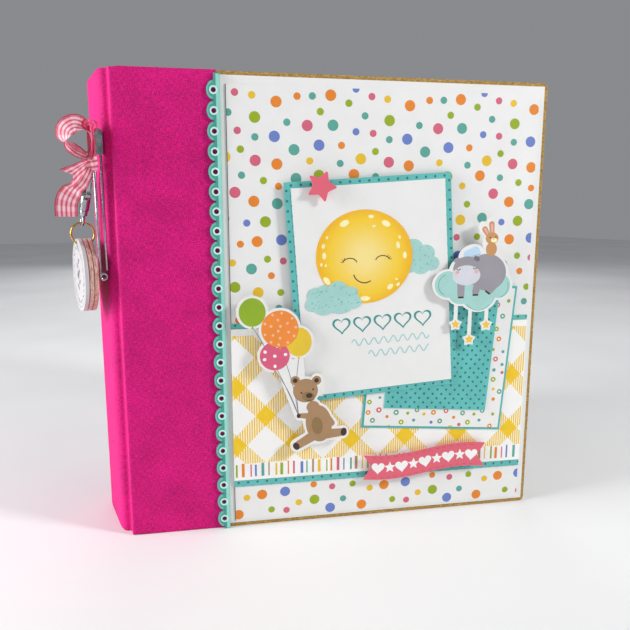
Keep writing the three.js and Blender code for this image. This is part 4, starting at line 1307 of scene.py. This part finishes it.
def hardware():
    for node, body, bevel in (("pin_wire", "spine", 0.05), ("pin_cap", "spine", 0.35),
                              ("pin_arm", "pin_arm", 0.2), ("clasp_body", "clasp", 0.5),
                              ("clasp_lever", "clasp_lever", 0.35),
                              ("clasp_swivel", "swivel", 0.12)):
        refined(node, body, STEEL, "steel", bevel)
    refined("jump_ring", "swivel", GOLD, "gold", 0.02)
    for place, material, slot in (("inner", ROSE, "charm_rose"), ("middle", ROSE, "charm_rose"),
                                  ("outer", CHARM_SHADED_WHITE, "charm_white")):
        refined(f"charm_{place}", f"charm_{place}", material, slot, 0.4, 3)


CHARM_R, CHARM_T, CHARM_PITCH, HOLE_INSET = 18, 1.9, 2.2, 3.2


def charm_print():
    """A faint wreath and sprig on the outer charm's face."""
    hole = Vector(JOINTS["charm_outer_swing"]["pos_m"]) / MM
    turn = Matrix.Rotation(math.radians(2.5), 4, "Z")
    face = Matrix(((0, 0, -1, 0), (-1, 0, 0, 0), (0, 1, 0, 0), (0, 0, 0, 1)))
    centre = Vector((-CHARM_PITCH - CHARM_T / 2, 0, -(CHARM_R - HOLE_INSET)))
    plane = Matrix.Scale(MM, 4) @ Matrix.Translation(hole) @ turn @ Matrix.Translation(centre) @ face
    marks = annulus_marks(0, 0, 16.2, 15.7, "pale_grey", 60)
    for k in range(24):
        a = TAU * k / 24
        leaf = ellipse(13.4 * math.cos(a), 13.4 * math.sin(a), 1.6, 0.5, math.degrees(a) + 60, 14)
        marks += inked("charm_ink" if k % 2 else "pale_grey", leaf)
    marks += inked("pale_grey", stroke([(0, -9), (0.5, -3), (-0.3, 3), (0.4, 8.6)], 0.5))
    for k in range(6):
        side = 1 if k % 2 else -1
        marks += inked("charm_ink", ellipse(side * 2.2, -6 + 2.6 * k, 2.2, 0.8, side * 35, 16))
    marks += inked("charm_ink", heart(0, 0.4, 4.2))
    print_piece("charm_wreath", marks, 0, "charm_outer", plane, "charm_white")


# ---------------------------------------------------------------- inside and back

PAGE_COLOURS = [("#5BBDB8", "#1F8488"), ("#F3C21A", "#FFF3C4"), ("#DE6A80", "#F7C7D0"),
                ("#A6DAD2", "#4FA79F"), ("#F0A24A", "#FFF0DC"), ("#8FA3DC", "#4A62B4")]


def assign(node, material):
    data = frame["nodes"][node].data
    data.materials.clear()
    data.materials.append(material)


def pages():
    for k, (ground, ink) in enumerate(PAGE_COLOURS, 1):
        assign(f"page_{k}", WHITE_CAD)
        assign(f"page_{k}_mat", dotted_paper(f"page_{k}_paper", ground, ink, 6.5 + k, 0.8 + 0.1 * k, True))
        photo_card(k)
    assign("spine_liner", WHITE_CAD)
    assign("binding_strip", paper("binding_kraft", "#E8DCC4", planned=False))
    assign("front_liner", gingham_paper("front_liner_paper", True))
    assign("back_liner", dotted_paper("back_liner_paper", "#F1EFEA", "#5BBDB8", 9, 1.5, True))


def page_plane(k):
    """The outside face of page k's mat: x along the page, y up, z out of the mat."""
    side = -1 if k <= 3 else 1
    share = (0.75, 0.45, 0.15)[k - 1 if side < 0 else 6 - k]
    hinge = Vector(JOINTS[f"page_{k}_turn"]["pos_m"])
    hinge.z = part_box(f"page_{k}")[0][2]
    return leaf_plane(hinge, side, share * FLARE, (0, side * 1.2, 0))


def photo_card(k):
    """A white photo mat with a coloured tag and a heart on each page."""
    plane, body = page_plane(k), f"page_{k}"
    card = rectangle(44, 44, 150, 190, 5)
    paper_piece(f"page_{k}_card", card, GAP, WHITE, "white_cardstock", (), body, plane)
    colours = ["pink", "orange", "green", "aqua", "yellow", "blue"]
    marks = [(stroke(rectangle(50, 50, 144, 184, 3) + [(144 - 3, 50)], 0.6), colours[k - 1]),
             (rectangle(118, 26, 168, 52, 4), colours[k % 6]), (heart(143, 39, 13), "white")]
    print_piece(f"page_{k}_marks", marks, GAP + PAPER, body, plane, "teal_paper")


DOT_ROOM = 6.2                              # the least distance between two dots of the back


def back_papers():
    """The back's dotted paper repeats upwards too; a dot too near one already laid is left out."""
    rows = []
    for drop in (10, 114, -96):
        for x, y, size, colour in DOT_FIELD:
            gaps = [((x - u + DOT_PERIOD / 2) % DOT_PERIOD - DOT_PERIOD / 2, y - drop - v)
                    for u, v, _, _ in rows]
            if all(math.hypot(*gap) >= DOT_ROOM for gap in gaps):
                rows.append((x, y - drop, size, colour))
    cover_base("back", "back_cover", BACK, dot_marks(rows))


# ---------------------------------------------------------------- stage, lights, camera

def stage():
    bpy.ops.mesh.primitive_plane_add(size=6)
    floor = bpy.context.object
    floor.name = "floor"
    n = Nodes("pale_floor", 0.7)
    tone = n.noise(n.place(), 0.004, 2)
    n.colour(n.mix(n.ramp(tone, 0.3, 0.7), (0.80, 0.80, 0.81, 1), (0.86, 0.86, 0.86, 1)))
    floor.data.materials.append(n.material)


def area_light(name, place, target, size, power, colour=(1, 1, 1)):
    light = bpy.data.lights.new(name, "AREA")
    light.shape = "RECTANGLE"
    light.size, light.size_y = size
    light.energy = power
    light.color = colour
    holder = in_scene(name, light)
    holder.location = place
    direction = Vector(target) - Vector(place)
    holder.rotation_euler = direction.to_track_quat("-Z", "Y").to_euler()


def lights():
    middle = (0.1, -0.03, 0.12)
    area_light("key", (0.8, -0.78, 0.66), middle, (0.2, 0.2), 8.8)
    area_light("spine_fill", (-0.9, 0.15, 0.4), middle, (0.5, 0.5), 13)
    area_light("front_fill", (-0.2, -1.2, 0.5), middle, (1.0, 0.8), 0.6)
    area_light("back_fill", (0.6, 1.2, 0.7), middle, (1.0, 1.0), 5)
    world = bpy.data.worlds.new("studio")
    world.use_nodes = True
    world.node_tree.nodes["Background"].inputs[0].default_value = (0.93, 0.95, 1.0, 1)
    world.node_tree.nodes["Background"].inputs[1].default_value = 0.27
    bpy.context.scene.world = world
    bpy.context.scene.view_settings.view_transform = "Standard"


CAMERA_PLACE = at(-46.66, -327.63, 164.8)
CAMERA_YAW, CAMERA_PITCH = 27.25, 9.74     # right of +Y, and down, in degrees
FOCAL = 614.5 / 630                         # focal length as a share of the picture's width


def camera():
    data = bpy.data.cameras.new("camera")
    data.sensor_width = 36
    data.lens = 36 * FOCAL
    data.clip_start = 0.01
    holder = in_scene("camera", data)
    holder.location = CAMERA_PLACE * MM
    holder.rotation_euler = (math.radians(90 - CAMERA_PITCH), 0, math.radians(-CAMERA_YAW))
    bpy.context.scene.camera = holder


camera()
bookcloth_half("bookcloth_front", -1, ["spine_cloth", "front_gutter_cloth", "front_cloth"])
bookcloth_half("bookcloth_back", 1, ["back_gutter_cloth", "back_cloth"])
boards()
front_papers()
moon_card_print()
diecuts()
back_papers()
pages()
ribbon_bow()
ribbon_knot()
hardware()
charm_print()
stage()
lights()

bpy.context.view_layer.update()
